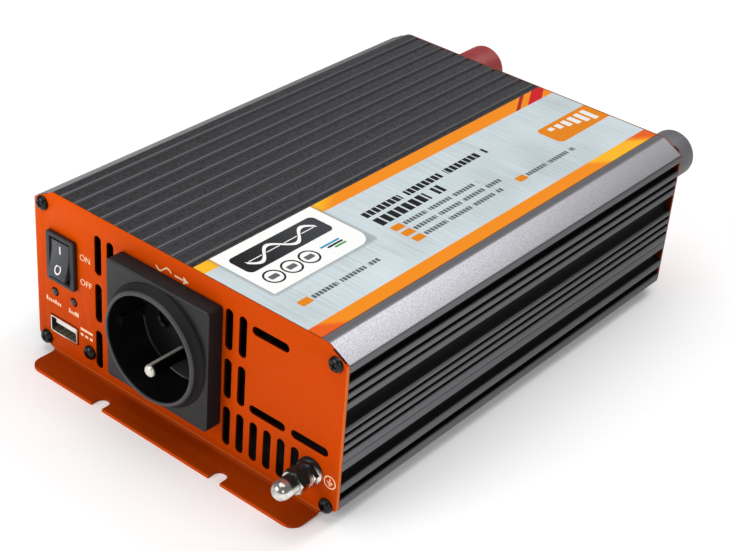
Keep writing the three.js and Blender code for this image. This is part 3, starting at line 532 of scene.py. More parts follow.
def powder_paint(colours):
    f = Finish("powder_paint", specular_ior_level=0.04)
    base = tuple(colours.panel)
    peel = f.noise(1.6, detail=3.0)
    drift = f.noise(0.02, detail=1.0)
    # Painted light: lighter towards the panel's upper left and darker towards the bottom.
    lit = (1 - f.x.fade(-HALF, 0)) * f.z.fade(20, TOP)
    tone = f.mix(lit, base, tuple(colours.panel_painted_light))
    tone = f.mix((1 - f.z.fade(4, 34)) * 0.8, tone, tuple(c * 0.76 for c in base))
    tone = f.mix(drift * 0.25, tone, tuple(c * 0.86 for c in base))
    # Painted highlight along the front panel's side edges and along the bend.
    bend = band(f.z, SHEET + 1.1, SHEET + 1.7) * (abs(f.y) < REAR_FACE + 0.6)
    edge = (abs(f.x) > HALF - 0.3) * (f.y < 0.0) + bend
    tone = f.mix(edge.at_most(1.0) * 0.4, tone, rgb(255, 158, 84))
    # Painted shade: the rear sheet's top and side edges are darkened to brown.
    rim = ((f.z > TOP - 1.1) + (abs(f.x) > HALF - 1.1)).at_most(1.0) * (f.y > 0.0)
    tone = f.mix(rim * 0.85, tone, rgb(104, 66, 40))
    # Painted shade: the inner face of the sheet and the walls of the cut-outs are painted near black.
    cut = (abs(f.y) < REAR_FACE - 0.2) * (abs(f.x) < HALF - 1.2) * band(f.z, SHEET + 2.2, TOP - 1.2)
    inside = ((abs(f.y) < REAR_Y + 0.15) + cut).at_most(1.0)
    tone = f.mix(inside, tone, rgb(34, 13, 3))
    # Painted shade: the foot is painted darker than the upright plate.
    foot = 1 - f.z.fade(SHEET * 0.9, SHEET + 2.6)
    tone = f.mix(foot * 0.9, tone, tuple(colours.panel_foot_shade))
    # Painted highlight along the foot's front edge.
    lip = abs(f.y) > REAR_FACE + 12.2
    tone = f.mix(lip * 0.5, tone, tuple(colours.panel_painted_light))
    f.set("Base Color", f.mix(peel * 0.10, tone, tuple(min(1, c * 1.2) for c in base)))
    f.set("Roughness", 0.42 + peel * 0.1)
    return f.set("Normal", f.bump(peel, 0.02, 0.35)).material


def label_print(colours):
    f = Finish("label_print", coat_weight=0.12, coat_roughness=0.12, specular_ior_level=0.3)
    x, along = f.x, f.y - FRONT_FACE
    brush = f.noise(1.4, (40, 1, 1), 3.0, 0.65)
    sheen = f.noise(0.03, detail=1.0)
    silver = tuple(colours.label_silver)
    field = f.ramp(
        brush * 0.6 + sheen * 0.4,
        (0.32, tuple(c * 0.80 for c in silver)), (0.5, silver), (0.68, tuple(min(1, c * 1.16) for c in silver)),
    )
    orange, amber, rust = rgb(243, 140, 0), rgb(251, 184, 26), rgb(232, 92, 6)
    ink, grey, red, white = rgb(20, 20, 24), rgb(96, 100, 104), rgb(205, 12, 20), rgb(250, 250, 248)

    # The stripes along both sides, with slanted changes of tone.
    left_edge = 9.9 + along * 0.008
    left = x < left_edge
    right = x > 56.4
    slant_right = along - (x - 59) * 1.4
    stripe_right = f.mix(slant_right.fade(166, 172) * (1 - slant_right.fade(193, 199)), orange, amber)
    stripe_right = f.mix(1 - slant_right.fade(7, 12), stripe_right, rust)
    stripe_right = f.mix(slant_right.fade(195, 203), stripe_right, rust)
    slant_left = along + (x - 7) * 1.8
    stripe_left = f.mix(slant_left.fade(60, 74), amber, orange)
    stripe_left = f.mix(band(slant_left, 188.5, 191.5), stripe_left, rgb(170, 30, 14))
    stripe_left = f.mix(band(slant_left, 197, 207), stripe_left, red)
    tone = f.mix(left, field, stripe_left)
    tone = f.mix(right, tone, stripe_right)

    # A white window with a rounded corner and a soft shadow, holding a wave sign and three rings.
    past = (abs(x - 17.5) - 17.3).at_least(0.0) + (abs(along - 35.2) - 26).at_least(0.0)
    glow = 1 - past.fade(0, 2.2)
    tone = f.mix(glow * 0.45, tone, grey)
    window = rounded_mask(x, along, 15.0, 25.0, 19.8, 36.0, 7.0) * (along > 9.2)
    tone = f.mix(window, tone, white)
    bar = rounded_mask(x, along, 15.0, 34.4, 5.8, 21.8, 2.4)
    tone = f.mix(bar, tone, f.mix(along.fade(14, 54), ink, rgb(58, 60, 64)))
    swing = ((along - 16.4) * (2 * math.pi / 18.0)).sine()
    tone = f.mix((abs(x - 15 - swing * 3.1) < 0.8) * band(along, 16.4, 52.4), tone, white)
    axis = rounded_mask(x, along, 15.0, 34.4, 0.22, 18.0, 0.2) * (1 - band(swing, -0.4, 0.4))
    tone = f.mix(axis, tone, white)
    for centre in (17.2, 26.2, 35.2):
        away = ((x - 27.2) * (x - 27.2) + (along - centre) * (along - centre)).root()
        tone = f.mix(band(away, 3.35, 4.15), tone, ink)
        tone = f.mix(rounded_mask(x, along, 27.2, centre, 1.2, 2.1, 0.5), tone, grey)
    for row, (colour, width) in enumerate(((rgb(40, 150, 190), 5.0), (ink, 4.0), (rgb(70, 160, 90), 3.0))):
        tone = f.mix(rounded_mask(x, along, 26.2 + row * 1.5, 47 + row * 1.2, 0.5, width, 0.4), tone, colour)

    # Rows of blank blocks where the wording would stand.
    def row(centre, height, start, end, pitch, share, colour, under):
        blocks = ((along - start) % pitch) < pitch * share
        words = ((along - start) % (pitch * 8.3)) < pitch * 7.3
        line = band(x, centre - height / 2, centre + height / 2) * band(along, start, end)
        return f.mix(line * blocks * words, under, colour)

    tone = row(22.6, 3.6, 70, 144, 2.9, 0.78, ink, tone)
    tone = row(29.0, 5.2, 70, 108, 4.0, 0.76, ink, tone)
    for centre, end in ((35.8, 121), (40.6, 129), (45.4, 124)):
        tone = row(centre, 2.1, 77, end, 1.75, 0.74, grey, tone)
        tone = f.mix(rounded_mask(x, along, centre, 73.2, 1.7, 2.7, 0.6), tone, orange)
    for centre, start, end in ((44.8, 17, 52), (45.6, 140, 172)):
        tone = row(centre, 2.1, start, end, 1.75, 0.74, grey, tone)
        tone = f.mix(rounded_mask(x, along, centre, start - 3.8, 1.7, 2.7, 0.6), tone, orange)

    # The orange flag at the rear, with a white power gauge.
    tone = f.mix(rounded_mask(x, along, 33.5, 193.0, 6.4, 21.0, 2.6), tone, orange)
    for step in range(6):
        height = 1.1 + step * 0.62
        tone = f.mix(rounded_mask(x, along, 29.2 + height, 178.5 + step * 4.6, height, 1.5, 0.4), tone, white)

    f.set("Base Color", tone)
    f.set("Metallic", (1 - left) * (1 - right) * (1 - window) * 0.25)
    f.set("Roughness", 0.34 + brush * 0.16)
    return f.set("Normal", f.bump(brush, 0.004, 0.2)).material


def moulded(name, colour, roughness, grain=0.35, depth=0.02, coat=0.0, cells=5.0):
    """Moulded plastic with a fine spark-eroded grain."""
    f = Finish(name, coat_weight=coat, coat_roughness=0.15)
    fine = f.noise(cells, detail=2.0)
    cloud = f.noise(0.12, detail=2.0)
    tone = f.ramp(
        cloud * 0.5 + fine * 0.5,
        (0.35, tuple(c * 0.82 for c in colour)), (0.65, tuple(min(1, c * 1.22 + 0.002) for c in colour)),
    )
    f.set("Base Color", tone)
    f.set("Roughness", roughness + fine * 0.14)
    return f.set("Normal", f.bump(fine, depth, grain))


def outlet_finish(colours):
    """Black plastic, painted paler on its front face, with painted shade on its sides and collar."""
    f = moulded("outlet_plastic", tuple(colours.outlet), 0.4, 0.25, 0.014).set("Specular IOR Level", 0.36)
    base = tuple(colours.outlet)
    fine = f.noise(5.0)
    tip = span("outlet_housing")[0].y
    # Painted shade on the sides behind the front face and on the collar.
    behind = f.y.fade(FRONT_FACE - 6.95, FRONT_FACE - 6.5) + band(f.y, tip + 0.8, FRONT_FACE - 7.3)
    face = f.mix(fine, tuple(c * 1.3 for c in base), tuple(c * 2.2 for c in base))
    tone = f.mix(behind, face, tuple(c * 0.25 for c in base))
    # Painted highlight on the rim's front edge.
    f.set("Base Color", f.mix((f.y < tip + 0.8) * 0.8, tone, tuple(c * 5.0 for c in base)))
    return f.set("Roughness", 0.38 + behind * 0.3 + fine * 0.1).material


def pin_finish(colours):
    """A nickel pin with a painted highlight at its tip and along its top, and painted shade beneath."""
    f = plated("pin_plate", rgb(200, 196, 188), 0.2, 0.8)
    upper = f.facing((-0.3, 0.0, 0.954))
    bright = (upper.fade(0.80, 0.97) + (1 - f.y.fade(0.6, 1.8, span("earth_pin")[0].y))).at_most(1.0)
    haze = f.noise(0.8)
    tone = f.mix(haze, rgb(232, 228, 218), rgb(212, 206, 194))
    f.set("Base Color", f.mix(bright, rgb(66, 64, 62), tone))
    f.set("Metallic", 1 - bright * 0.55)
    return f.set("Roughness", 0.22 + haze * 0.1).material


def usb_finish(colours):
    """Bright folded metal outside, dull in the shadow of its mouth."""
    f = plated("usb_plate", rgb(232, 229, 222), 0.08, 0.75)
    low, high = span("usb_shell")
    centre = (low + high) / 2
    within = (abs(f.x - centre.x) < 6.8) * (abs(f.z - centre.z) < 3.05) * (f.y > low.y + 0.12)
    haze = f.noise(0.5, detail=3.0)
    tone = f.ramp(haze, (0.3, rgb(206, 203, 196)), (0.6, rgb(236, 233, 226)))
    springs = band((f.x - low.x) % 2.6, 0.7, 1.9)
    shade = f.mix((f.z < low.z + 1.1) * (0.55 + springs * 0.45), rgb(40, 37, 33), rgb(112, 103, 84))
    f.set("Base Color", f.mix(within, tone, shade))
    f.set("Metallic", 1 - within * 0.75)
    return f.set("Roughness", 0.08 + haze * 0.1 + within * 0.3).material


def nut_finish(colours):
    """Nickel plate with a painted dark reflection on its upper, panel-side flanks."""
    f = plated("post_plate", rgb(236, 233, 226), 0.08, 0.8)
    upper = f.facing((-0.3, 0.1, 0.95))
    haze = f.noise(0.5, detail=3.0)
    tone = f.ramp(haze, (0.3, rgb(190, 188, 184)), (0.6, rgb(236, 233, 226)))
    tip = span("ground_cap_nut")[0].y
    # Painted reflection: flanks facing up and towards the panel are painted dark.
    dark_reflection = upper.fade(-0.2, 0.3) * (f.y.fade(tip + 4.0, tip + 5.5) * 0.6 + 0.4)
    f.set("Base Color", f.mix(dark_reflection, tone, rgb(38, 44, 45)))
    f.set("Specular IOR Level", 0.12)
    return f.set("Metallic", 1 - dark_reflection * 0.6).material


def plated(name, colour, roughness, dark=0.55):
    """Bright plated metal with faint turning marks and handling haze."""
    f = Finish(name, metallic=1.0)
    marks = f.noise(3.0, (1, 0.12, 1), 2.0)
    haze = f.noise(0.5, detail=3.0)
    f.set("Base Color", f.ramp(haze, (0.3, tuple(c * dark for c in colour)), (0.6, colour)))
    f.set("Roughness", roughness + haze * 0.1 + marks * 0.04)
    return f.set("Normal", f.bump(marks, 0.004, 0.25))


def board_finish(colours):
    f = Finish("circuit_board", coat_weight=0.3, coat_roughness=0.2)
    cells = f.vector("MULTIPLY", f.place, (0.28, 0.28, 0.28))
    tracks = f.wire("ShaderNodeTexVoronoi", {"feature": "DISTANCE_TO_EDGE"}, {"Vector": cells, "Scale": 1.0})
    weave = f.noise(2.2)
    mask = tracks.fade(0.03, 0.06)
    tone = f.mix(mask, rgb(46, 120, 70), rgb(18, 78, 42))
    f.set("Base Color", f.mix(weave * 0.3, tone, rgb(14, 60, 34)))
    f.set("Roughness", 0.38 + weave * 0.15)
    return f.set("Normal", f.bump(1 - mask, 0.03, 0.5)).material


def winding_finish(colours):
    f = Finish("winding_tape", coat_weight=0.3, coat_roughness=0.1)
    layers = (f.z % 3.1).fade(0.0, 0.35)
    soft = f.noise(0.7)
    tone = f.mix(layers, rgb(150, 108, 26), rgb(216, 172, 62))
    f.set("Base Color", f.mix(soft * 0.3, tone, rgb(190, 140, 40)))
    f.set("Roughness", 0.34 + soft * 0.15)
    return f.set("Normal", f.bump(layers, 0.05, 0.6)).material


def wire_finish(colours):
    f = Finish("copper_turns", metallic=0.75)
    centre = middle("output_choke")
    angle = (f.y - centre.y).turn_from(f.x - centre.x)
    # Painted shade and highlight: each turn is painted bright along its middle and dark where it meets the
    # next.
    turns = abs(((angle * (60 / math.pi)) % 1.0) - 0.5)
    f.set("Base Color", f.ramp(turns, (0.0, rgb(205, 116, 52)), (0.5, rgb(92, 40, 16))))
    f.set("Roughness", 0.28 + f.noise(1.0) * 0.15)
    return f.set("Normal", f.bump(0.5 - turns, 0.3, 0.8)).material


def sleeve_finish(colours):
    f = Finish("capacitor_sleeve", coat_weight=0.4, coat_roughness=0.12)
    capacitor = middle("input_capacitor")
    stripe = band(f.x, capacitor.x + 4.5, capacitor.x + 9.5) + band(f.x, 10.5, 14.5)
    top = f.z > 36.0
    cloud = f.noise(0.4)
    tone = f.mix(stripe.at_most(1.0), rgb(24, 36, 66), rgb(176, 180, 186))
    tone = f.mix(top, tone, rgb(186, 188, 190))
    f.set("Base Color", f.mix(cloud * 0.2, tone, rgb(18, 26, 48)))
    f.set("Roughness", 0.3 + cloud * 0.15)
    return f.set("Normal", f.bump(cloud, 0.02, 0.3)).material


def print_finish(colours):
    f = Finish("panel_print", roughness=0.5)
    worn = f.noise(1.5, detail=3.0)
    f.set("Base Color", f.ramp(worn, (0.3, rgb(246, 190, 142)), (0.6, rgb(255, 222, 184))))
    return f.set("Roughness", 0.45 + worn * 0.15).material


def lens_finish(name, colour):
    f = Finish(name, coat_weight=0.3, coat_roughness=0.05)
    swirl = f.noise(0.8)
    f.set("Base Color", f.ramp(swirl, (0.3, tuple(c * 0.6 for c in colour)), (0.7, colour)))
    f.set("Roughness", 0.16 + swirl * 0.1)
    return f.set("Normal", f.bump(swirl, 0.02, 0.2)).material


def floor_finish(colours):
    f = Finish("studio_floor")
    soft = f.noise(0.01)
    f.set("Base Color", f.mix(soft * 0.1, tuple(colours.floor), tuple(c * 0.97 for c in colours.floor)))
    f.set("Emission Color", (1.0, 1.0, 1.0))
    f.set("Emission Strength", 0.14)
    return f.set("Roughness", 0.75 + soft * 0.1).material


RECIPES = {
    "case": anodised_aluminium,
    "paint": powder_paint,
    "label": label_print,
    "print": print_finish,
    "screw": lambda c: plated("black_oxide", rgb(24, 25, 28), 0.16, 0.6).set("Metallic", 0.5).material,
    "switch": lambda c: moulded("switch_plastic", rgb(21, 22, 25), 0.36, 0.3, 0.012).material,
    "outlet": outlet_finish,
    # Painted shade: the plastic inside the outlet's well is a darker copy of the outlet plastic.
    "outlet_inside": lambda c: moulded("outlet_shaded_gloss", rgb(6, 6, 7), 0.26, 0.12, 0.008).set(
        "Specular IOR Level", 0.36).material,
    "pin": pin_finish,
    "usb": usb_finish,
    "rocker": lambda c: moulded("rocker_plastic", rgb(46, 49, 56), 0.24, 0.2, 0.01, 0.1).material,
    "white": lambda c: moulded("white_plastic", rgb(238, 237, 230), 0.4, 0.2, 0.01).material,
    "knob_red": lambda c: moulded("knob_red_plastic", tuple(c.knob_red), 0.44, 0.3, 0.02).material,
    "knob_grey": lambda c: moulded("knob_grey_plastic", tuple(c.knob_grey), 0.5, 0.3, 0.02).material,
    "black": lambda c: moulded("black_plastic", rgb(30, 31, 33), 0.42, 0.3, 0.015).material,
    "rubber": lambda c: moulded("black_sleeve", rgb(24, 24, 25), 0.55, 0.25, 0.03).material,
    "red_rubber": lambda c: moulded("red_sleeve", rgb(168, 28, 22), 0.5, 0.25, 0.03).material,
    "ferrite": lambda c: moulded("sintered_ferrite", rgb(50, 50, 54), 0.66, 0.5, 0.04, 0.0, 2.5).material,
    "nut": nut_finish,
    "chrome": lambda c: plated("nickel_plate", rgb(232, 229, 222), 0.06, 0.72).material,
    "brass": lambda c: plated("machined_brass", rgb(214, 176, 98), 0.2).material,
    "bracket": lambda c: plated("mill_aluminium", rgb(188, 190, 192), 0.32, 0.8).material,
    "board": board_finish,
    "winding": winding_finish,
    "copper": wire_finish,
    "capacitor": sleeve_finish,
    "lamp_green": lambda c: lens_finish("green_lens", rgb(20, 34, 12)),
    "lamp_red": lambda c: lens_finish("red_lens", rgb(58, 12, 8)),
    "floor": floor_finish,
}

# ---------------------------------------------------------------- settings


def length_setting(name, description, default, low, high):
    """A length in millimetres, kept in metres."""
    return bpy.props.FloatProperty(
        name=name, description=description, default=default * MM, min=low * MM, max=high * MM, unit="LENGTH",
        precision=5)


def colour_setting(name, description, *screen_colour):
    return bpy.props.FloatVectorProperty(
        name=name, description=description, subtype="COLOR", size=3, min=0, max=1, default=rgb(*screen_colour))


class InverterSizes(bpy.types.PropertyGroup):
    fin_round: length_setting("Fin rounding", "Radius on the corners of the side fins", 0.35, 0.05, 0.7)
    rib_round: length_setting("Rib rounding", "Radius on the edges of the top ribs", 0.3, 0.05, 0.4)
    sheet_round: length_setting(
        "Sheet edge rounding", "Radius on the cut edges of the end panels", 0.14, 0.02, 0.3)
    moulding_round: length_setting(
        "Moulding rounding", "Radius on the edges of the plastic mouldings", 0.45, 0.05, 0.8)
    flute_depth: length_setting(
        "Knob flute depth", "Depth of the grip flutes in the terminal knobs", 0.32, 0.0, 0.8)
    flutes: bpy.props.IntProperty(
        name="Knob flutes", description="How many grip flutes go round a terminal knob", default=36, min=8,
        max=60)
    print_lift: length_setting(
        "Print thickness", "How far the printed signs stand off the paint", 0.05, 0.01, 0.2)


class InverterColours(bpy.types.PropertyGroup):
    anodised: colour_setting("Anodising", "Colour of the case", 84, 83, 86)
    panel: colour_setting("Panel paint", "Colour of the end panels", 207, 71, 0)
    # The next two colours are painted light and painted shade on the panel paint.
    panel_painted_light: colour_setting(
        "Panel paint, painted light at upper left", "Painted light towards the panels' upper left corner and along the foot's front edge", 232, 86, 0)
    panel_foot_shade: colour_setting("Panel paint, painted shade on foot", "Painted shade colour of the panels' foot", 140, 50, 2)
    label_silver: colour_setting("Label silver", "Ground colour of the label", 214, 226, 230)
    outlet: colour_setting("Outlet plastic", "Colour of the mains outlet", 27, 27, 29)
    knob_red: colour_setting("Positive knob", "Colour of the positive terminal's knob", 150, 44, 44)
    knob_grey: colour_setting("Negative knob", "Colour of the negative terminal's knob", 96, 94, 97)
    floor: colour_setting("Floor", "Colour of the studio floor", 250, 250, 250)


class PieceOperator(bpy.types.Operator):
    """Builds part of the inverter's looks"""

    bl_options = {"REGISTER", "UNDO"}

    def sizes(self):
        return bpy.context.scene.inverter_sizes


# ---------------------------------------------------------------- the case


def fin_side(bands, top, rounding):
    """The right-hand outline of a casing from the top down, as rounded points."""
    points, z = [], top
    for number, (kind, height) in enumerate(bands):
        low = z - height
        lip = 1.9 if number == 1 and kind == "g" and len(bands) > 6 else rounding
        if kind == "g":
            floor = min(0.6, height * 0.34)
            points += [
                (HALF, z, lip), (HALF - GROOVE_DEPTH, z, floor),
                (HALF - GROOVE_DEPTH, low, floor), (HALF, low, rounding),
            ]
        if kind == "r":
            radius = (RECESS_DEPTH ** 2 + (height / 2) ** 2) / (2 * RECESS_DEPTH)
            reach = math.asin(height / 2 / radius)
            centre = HALF - RECESS_DEPTH + radius
            steps = 18
            for i in range(steps + 1):
                angle = math.pi - reach + 2 * reach * i / steps
                points.append((
                    centre + radius * math.cos(angle), (z + low) / 2 + radius * math.sin(angle),
                    rounding if i in (0, steps) else 0,
                ))
        z = low
    return points


def flipped(points):
    return [(-p[0], *p[1:]) for p in reversed(points)]


def screw_bores(shell, corners):
    """Bores a shell from end to end for the screws at these corners."""
    bores = bmesh.new()
    drill(bores, [f"front_screw_{corner}" for corner in corners], SCREW_HOLE, 20, FRONT_Y - 1, REAR_Y + 1)
    return combine(shell, bores, "DIFFERENCE")


class INVERTER_OT_case(PieceOperator):
    """Builds the two finned aluminium shells with their rounded fins, ribs and screw bores"""

    bl_idname = "inverter.case"
    bl_label = "Finned Case"

    def execute(self, context):
        sizes = self.sizes()
        fin, rib = sizes.fin_round / MM, sizes.rib_round / MM
        shoulder = TOP - SHOULDER_RISE
        inner = HALF - WALL
        roof = TOP - ROOF

        side = [(HALF, shoulder, 0.5), *fin_side(UPPER_FINS, shoulder, fin), (HALF, SPLIT, fin)]
        right = [(inner, SPLIT), *reversed(side), (HALF - SHOULDER_RUN, TOP, 0.5)]
        ledge_left, ledge_right = LABEL_LOW.x - LABEL_LEDGE, LABEL_HIGH.x + LABEL_LEDGE
        ribs = [
            (ledge_right, TOP, 0.1), (ledge_right, LABEL_LOW.z), (ledge_left, LABEL_LOW.z),
            (ledge_left, TOP, 0.1),
        ]
        x = ledge_left - RIB_PITCH
        while x - RIB_GROOVE > -HALF + SHOULDER_RUN:
            ribs += [
                (x, TOP, 0.05), (x - RIB_GROOVE * 0.25, TOP - RIB_DEPTH, 0.15),
                (x - RIB_GROOVE * 0.75, TOP - RIB_DEPTH, 0.15), (x - RIB_GROOVE, TOP, rib),
            ]
            x -= RIB_PITCH
        corner = [(inner - 4.2, roof), (inner - 2, roof - 2.2), (inner - 2, roof - 4.6), (inner, roof - 6.6)]
        shell = bmesh.new()
        prism(shell, [*right, *ribs, *flipped(right), *flipped(corner), *corner], "xz", FRONT_Y, REAR_Y, 3)
        shell = screw_bores(shell, CORNERS[:2])
        finish_piece(
            shell, "upper_shell", finish("case"), stands_for=["upper_casing"], crease=24)

        side = [*fin_side(LOWER_FINS, SPLIT, fin), (HALF, FOOT_RISE, 0.6)]
        lip = inner - 3.0
        right = [
            (HALF - FOOT_RUN, 0, 0.6), *reversed(side), (HALF, SPLIT, fin), (inner, SPLIT),
            (inner, 8.3), (lip, 8.3), (lip, 7.1), (lip + 2, 7.1), (lip + 2, 5.0), (lip, 5.0), (lip, FLOOR),
        ]
        shell = bmesh.new()
        prism(shell, [*right, *flipped(right)], "xz", FRONT_Y, REAR_Y, 3)
        shell = screw_bores(shell, CORNERS[2:])
        finish_piece(
            shell, "lower_shell", finish("case"), stands_for=["lower_casing"], crease=24)
        refinish(finish("label"), "top_label")
        return {"FINISHED"}


# ---------------------------------------------------------------- end panels


def slot_shape(x, z, width, height):
    return rectangle(x, z, width, height, min(width, height) / 2 - 0.01)


def front_openings():
    """Where air passes through the front panel: centre, width and height of each slot."""
    low, high = span("outlet_housing")
    width, length, pitch = 3.6, 16.6, 6.4
    columns = [low.x - 5.6 - pitch, low.x - 5.6, high.x + 2.7, high.x + 2.7 + pitch]
    tiers = [14.3, 34.7, 55.1]
    upright = [(x, z) for x in columns for z in tiers]
    upright += [(columns[-1] + pitch * step, tiers[0]) for step in (1, 2, 3, 4)]
    across = [(42.0, TOP - 10.3), (42.0, 27.8), (61.3, 27.8)]
    return [(x, z, width, length) for x, z in upright] + [(x, z, length, width) for x, z in across]


def bent_sheet(side):
    """The plate against the case's end, its bend and its foot, as one closed shape."""
    inner = FRONT_Y if side == FRONT else REAR_Y
    outer = inner + side * SHEET
    shoulder = TOP - SHOULDER_RISE
    trim = 0.0 if side == FRONT else 0.4
    right = [
        (HALF - FLANGE_INSET, BEND), (HALF - trim, FOOT_RISE, 0.8), (HALF - trim, shoulder - trim / 2, 0.8),
        (HALF - SHOULDER_RUN - trim / 2, TOP - trim, 0.8),
    ]
    plate = bmesh.new()
    prism(plate, [*right, *flipped(right)], "xz", min(inner, outer), max(inner, outer), 3)

    tip = outer + side * FLANGE_REACH
    edge = HALF - FLANGE_INSET
    foot = bmesh.new()
    section = [
        (inner, BEND + 1.0), (inner, 0.0, BEND), (tip, 0.0), (tip, SHEET), (outer, SHEET, BEND - SHEET),
        (outer, BEND + 1.0),
    ]
    prism(foot, section, "yz", -edge, edge, 6)
    corner = bmesh.new()
    past, start = tip + side * 2, tip - side * FLANGE_CORNER
    for s in (-1, 1):
        rounded = [
            (s * (edge + 2), past), (s * (edge + 2), start), (s * edge, start),
            (s * edge, tip, FLANGE_CORNER - 0.01), (s * (edge - FLANGE_CORNER), tip),
            (s * (edge - FLANGE_CORNER), past),
        ]
        prism(corner, rounded, "xy", -1, SHEET + 1, 8)
        left, right = s * FIXING_X - FIXING_HALF, s * FIXING_X + FIXING_HALF
        reach = tip - side * FIXING_DEPTH
        end = FIXING_HALF - 0.01
        slot = [(left, past), (left, reach, end), (right, reach, end), (right, past)]
        prism(corner, slot, "xy", -1, SHEET + 1, 8)
    foot = combine(foot, corner, "DIFFERENCE")
    return combine(plate, foot, "UNION")


class INVERTER_OT_front_panel(PieceOperator):
    """Builds the orange front panel: a bent sheet with its air slots and cut-outs"""

    bl_idname = "inverter.front_panel"
    bl_label = "Front Panel"

    def execute(self, context):
        cuts = bmesh.new()
        start, end = FRONT_FACE - 1, FRONT_Y + 1
        for opening in front_openings():
            prism(cuts, slot_shape(*opening), "xz", start, end, 8)
        switch = middle("switch_housing")
        prism(cuts, rectangle(switch.x, switch.z, 13.2, 19.2, 0.4), "xz", start, end)
        usb = middle("usb_shell")
        prism(cuts, rectangle(usb.x, usb.z, 15.3, 7.8, 0.5), "xz", start, end)
        drill(cuts, ["power_lamp", "fault_lamp"], 1.9, 24, start, end)
        drill(cuts, ["outlet_housing"], 22.2, 64, start, end)
        drill(cuts, ["ground_stud"], 2.8, 24, start, end)
        screws = [*(f"front_screw_{corner}" for corner in CORNERS), "bracket_screw"]
        drill(cuts, screws, SCREW_HOLE, 20, start, end)
        sheet = combine(bent_sheet(FRONT), cuts, "DIFFERENCE")
        soften(sheet, self.sizes().sheet_round / MM, 2, 50)
        finish_piece(
            sheet, "front_sheet", finish("paint"), stands_for=["front_panel"], crease=28)
        return {"FINISHED"}


class INVERTER_OT_rear_panel(PieceOperator):
    """Builds the orange rear panel with its fan opening and terminal holes"""

    bl_idname = "inverter.rear_panel"
    bl_label = "Rear Panel"

    def execute(self, context):
        cuts = bmesh.new()
        start, end = REAR_Y - 1, REAR_FACE + 1
        drill(cuts, ["fan_frame"], FAN_DUCT, 64, start, end)
        drill(cuts, [*FAN_SCREWS, *(f"rear_screw_{corner}" for corner in CORNERS)], SCREW_HOLE, 20, start, end)
        drill(cuts, ["terminal_bush_positive", "terminal_bush_negative"], 5.8, 32, start, end)
        sheet = combine(bent_sheet(REAR), cuts, "DIFFERENCE")
        soften(sheet, self.sizes().sheet_round / MM, 2, 50)
        finish_piece(
            sheet, "rear_sheet", finish("paint"), stands_for=["rear_panel"], crease=28)
        return {"FINISHED"}


# ---------------------------------------------------------------- screws


def pan_screw(name, node, seat, side):
    """A pan-head screw with a cross recess."""
    place = middle(node)
    screw = bmesh.new()
    turned(
        screw,
        [(0, -10), (1.3, -10, 0.3), (1.3, 0), (2.9, 0, 0.15), (2.9, 0.9, 0.5), (1.9, 1.9, 0.6), (0, 2.0)],
        place.x, place.z, seat, side, 32)
    start, end = sorted((seat + side * 0.8, seat + side * 3))
    for width, height in ((0.55, 3.0), (3.0, 0.55)):
        recess = bmesh.new()
        prism(recess, rectangle(0, 0, width, height, 0.12), "xz", start, end, 2)
        swing(recess, math.radians(11), (place.x, 0, place.z))
        screw = combine(screw, recess, "DIFFERENCE")
    finish_piece(screw, name, finish("screw"), stands_for=[node], crease=30)


class INVERTER_OT_screws(PieceOperator):
    """Builds the black pan-head screws of both panels, the fan and the board's bracket"""

    bl_idname = "inverter.screws"
    bl_label = "Screws"

    def execute(self, context):
        for corner in CORNERS:
            pan_screw(f"front_pan_{corner}", f"front_screw_{corner}", FRONT_FACE, FRONT)
            pan_screw(f"rear_pan_{corner}", f"rear_screw_{corner}", REAR_FACE, REAR)
        pan_screw("bracket_pan", "bracket_screw", FRONT_FACE, FRONT)
        guard = span("fan_guard")[1].y
        for number in (1, 2, 3, 4):
            pan_screw(f"fan_pan_{number}", f"fan_screw_{number}", guard, REAR)
        return {"FINISHED"}


# ---------------------------------------------------------------- switch, lamps and USB port


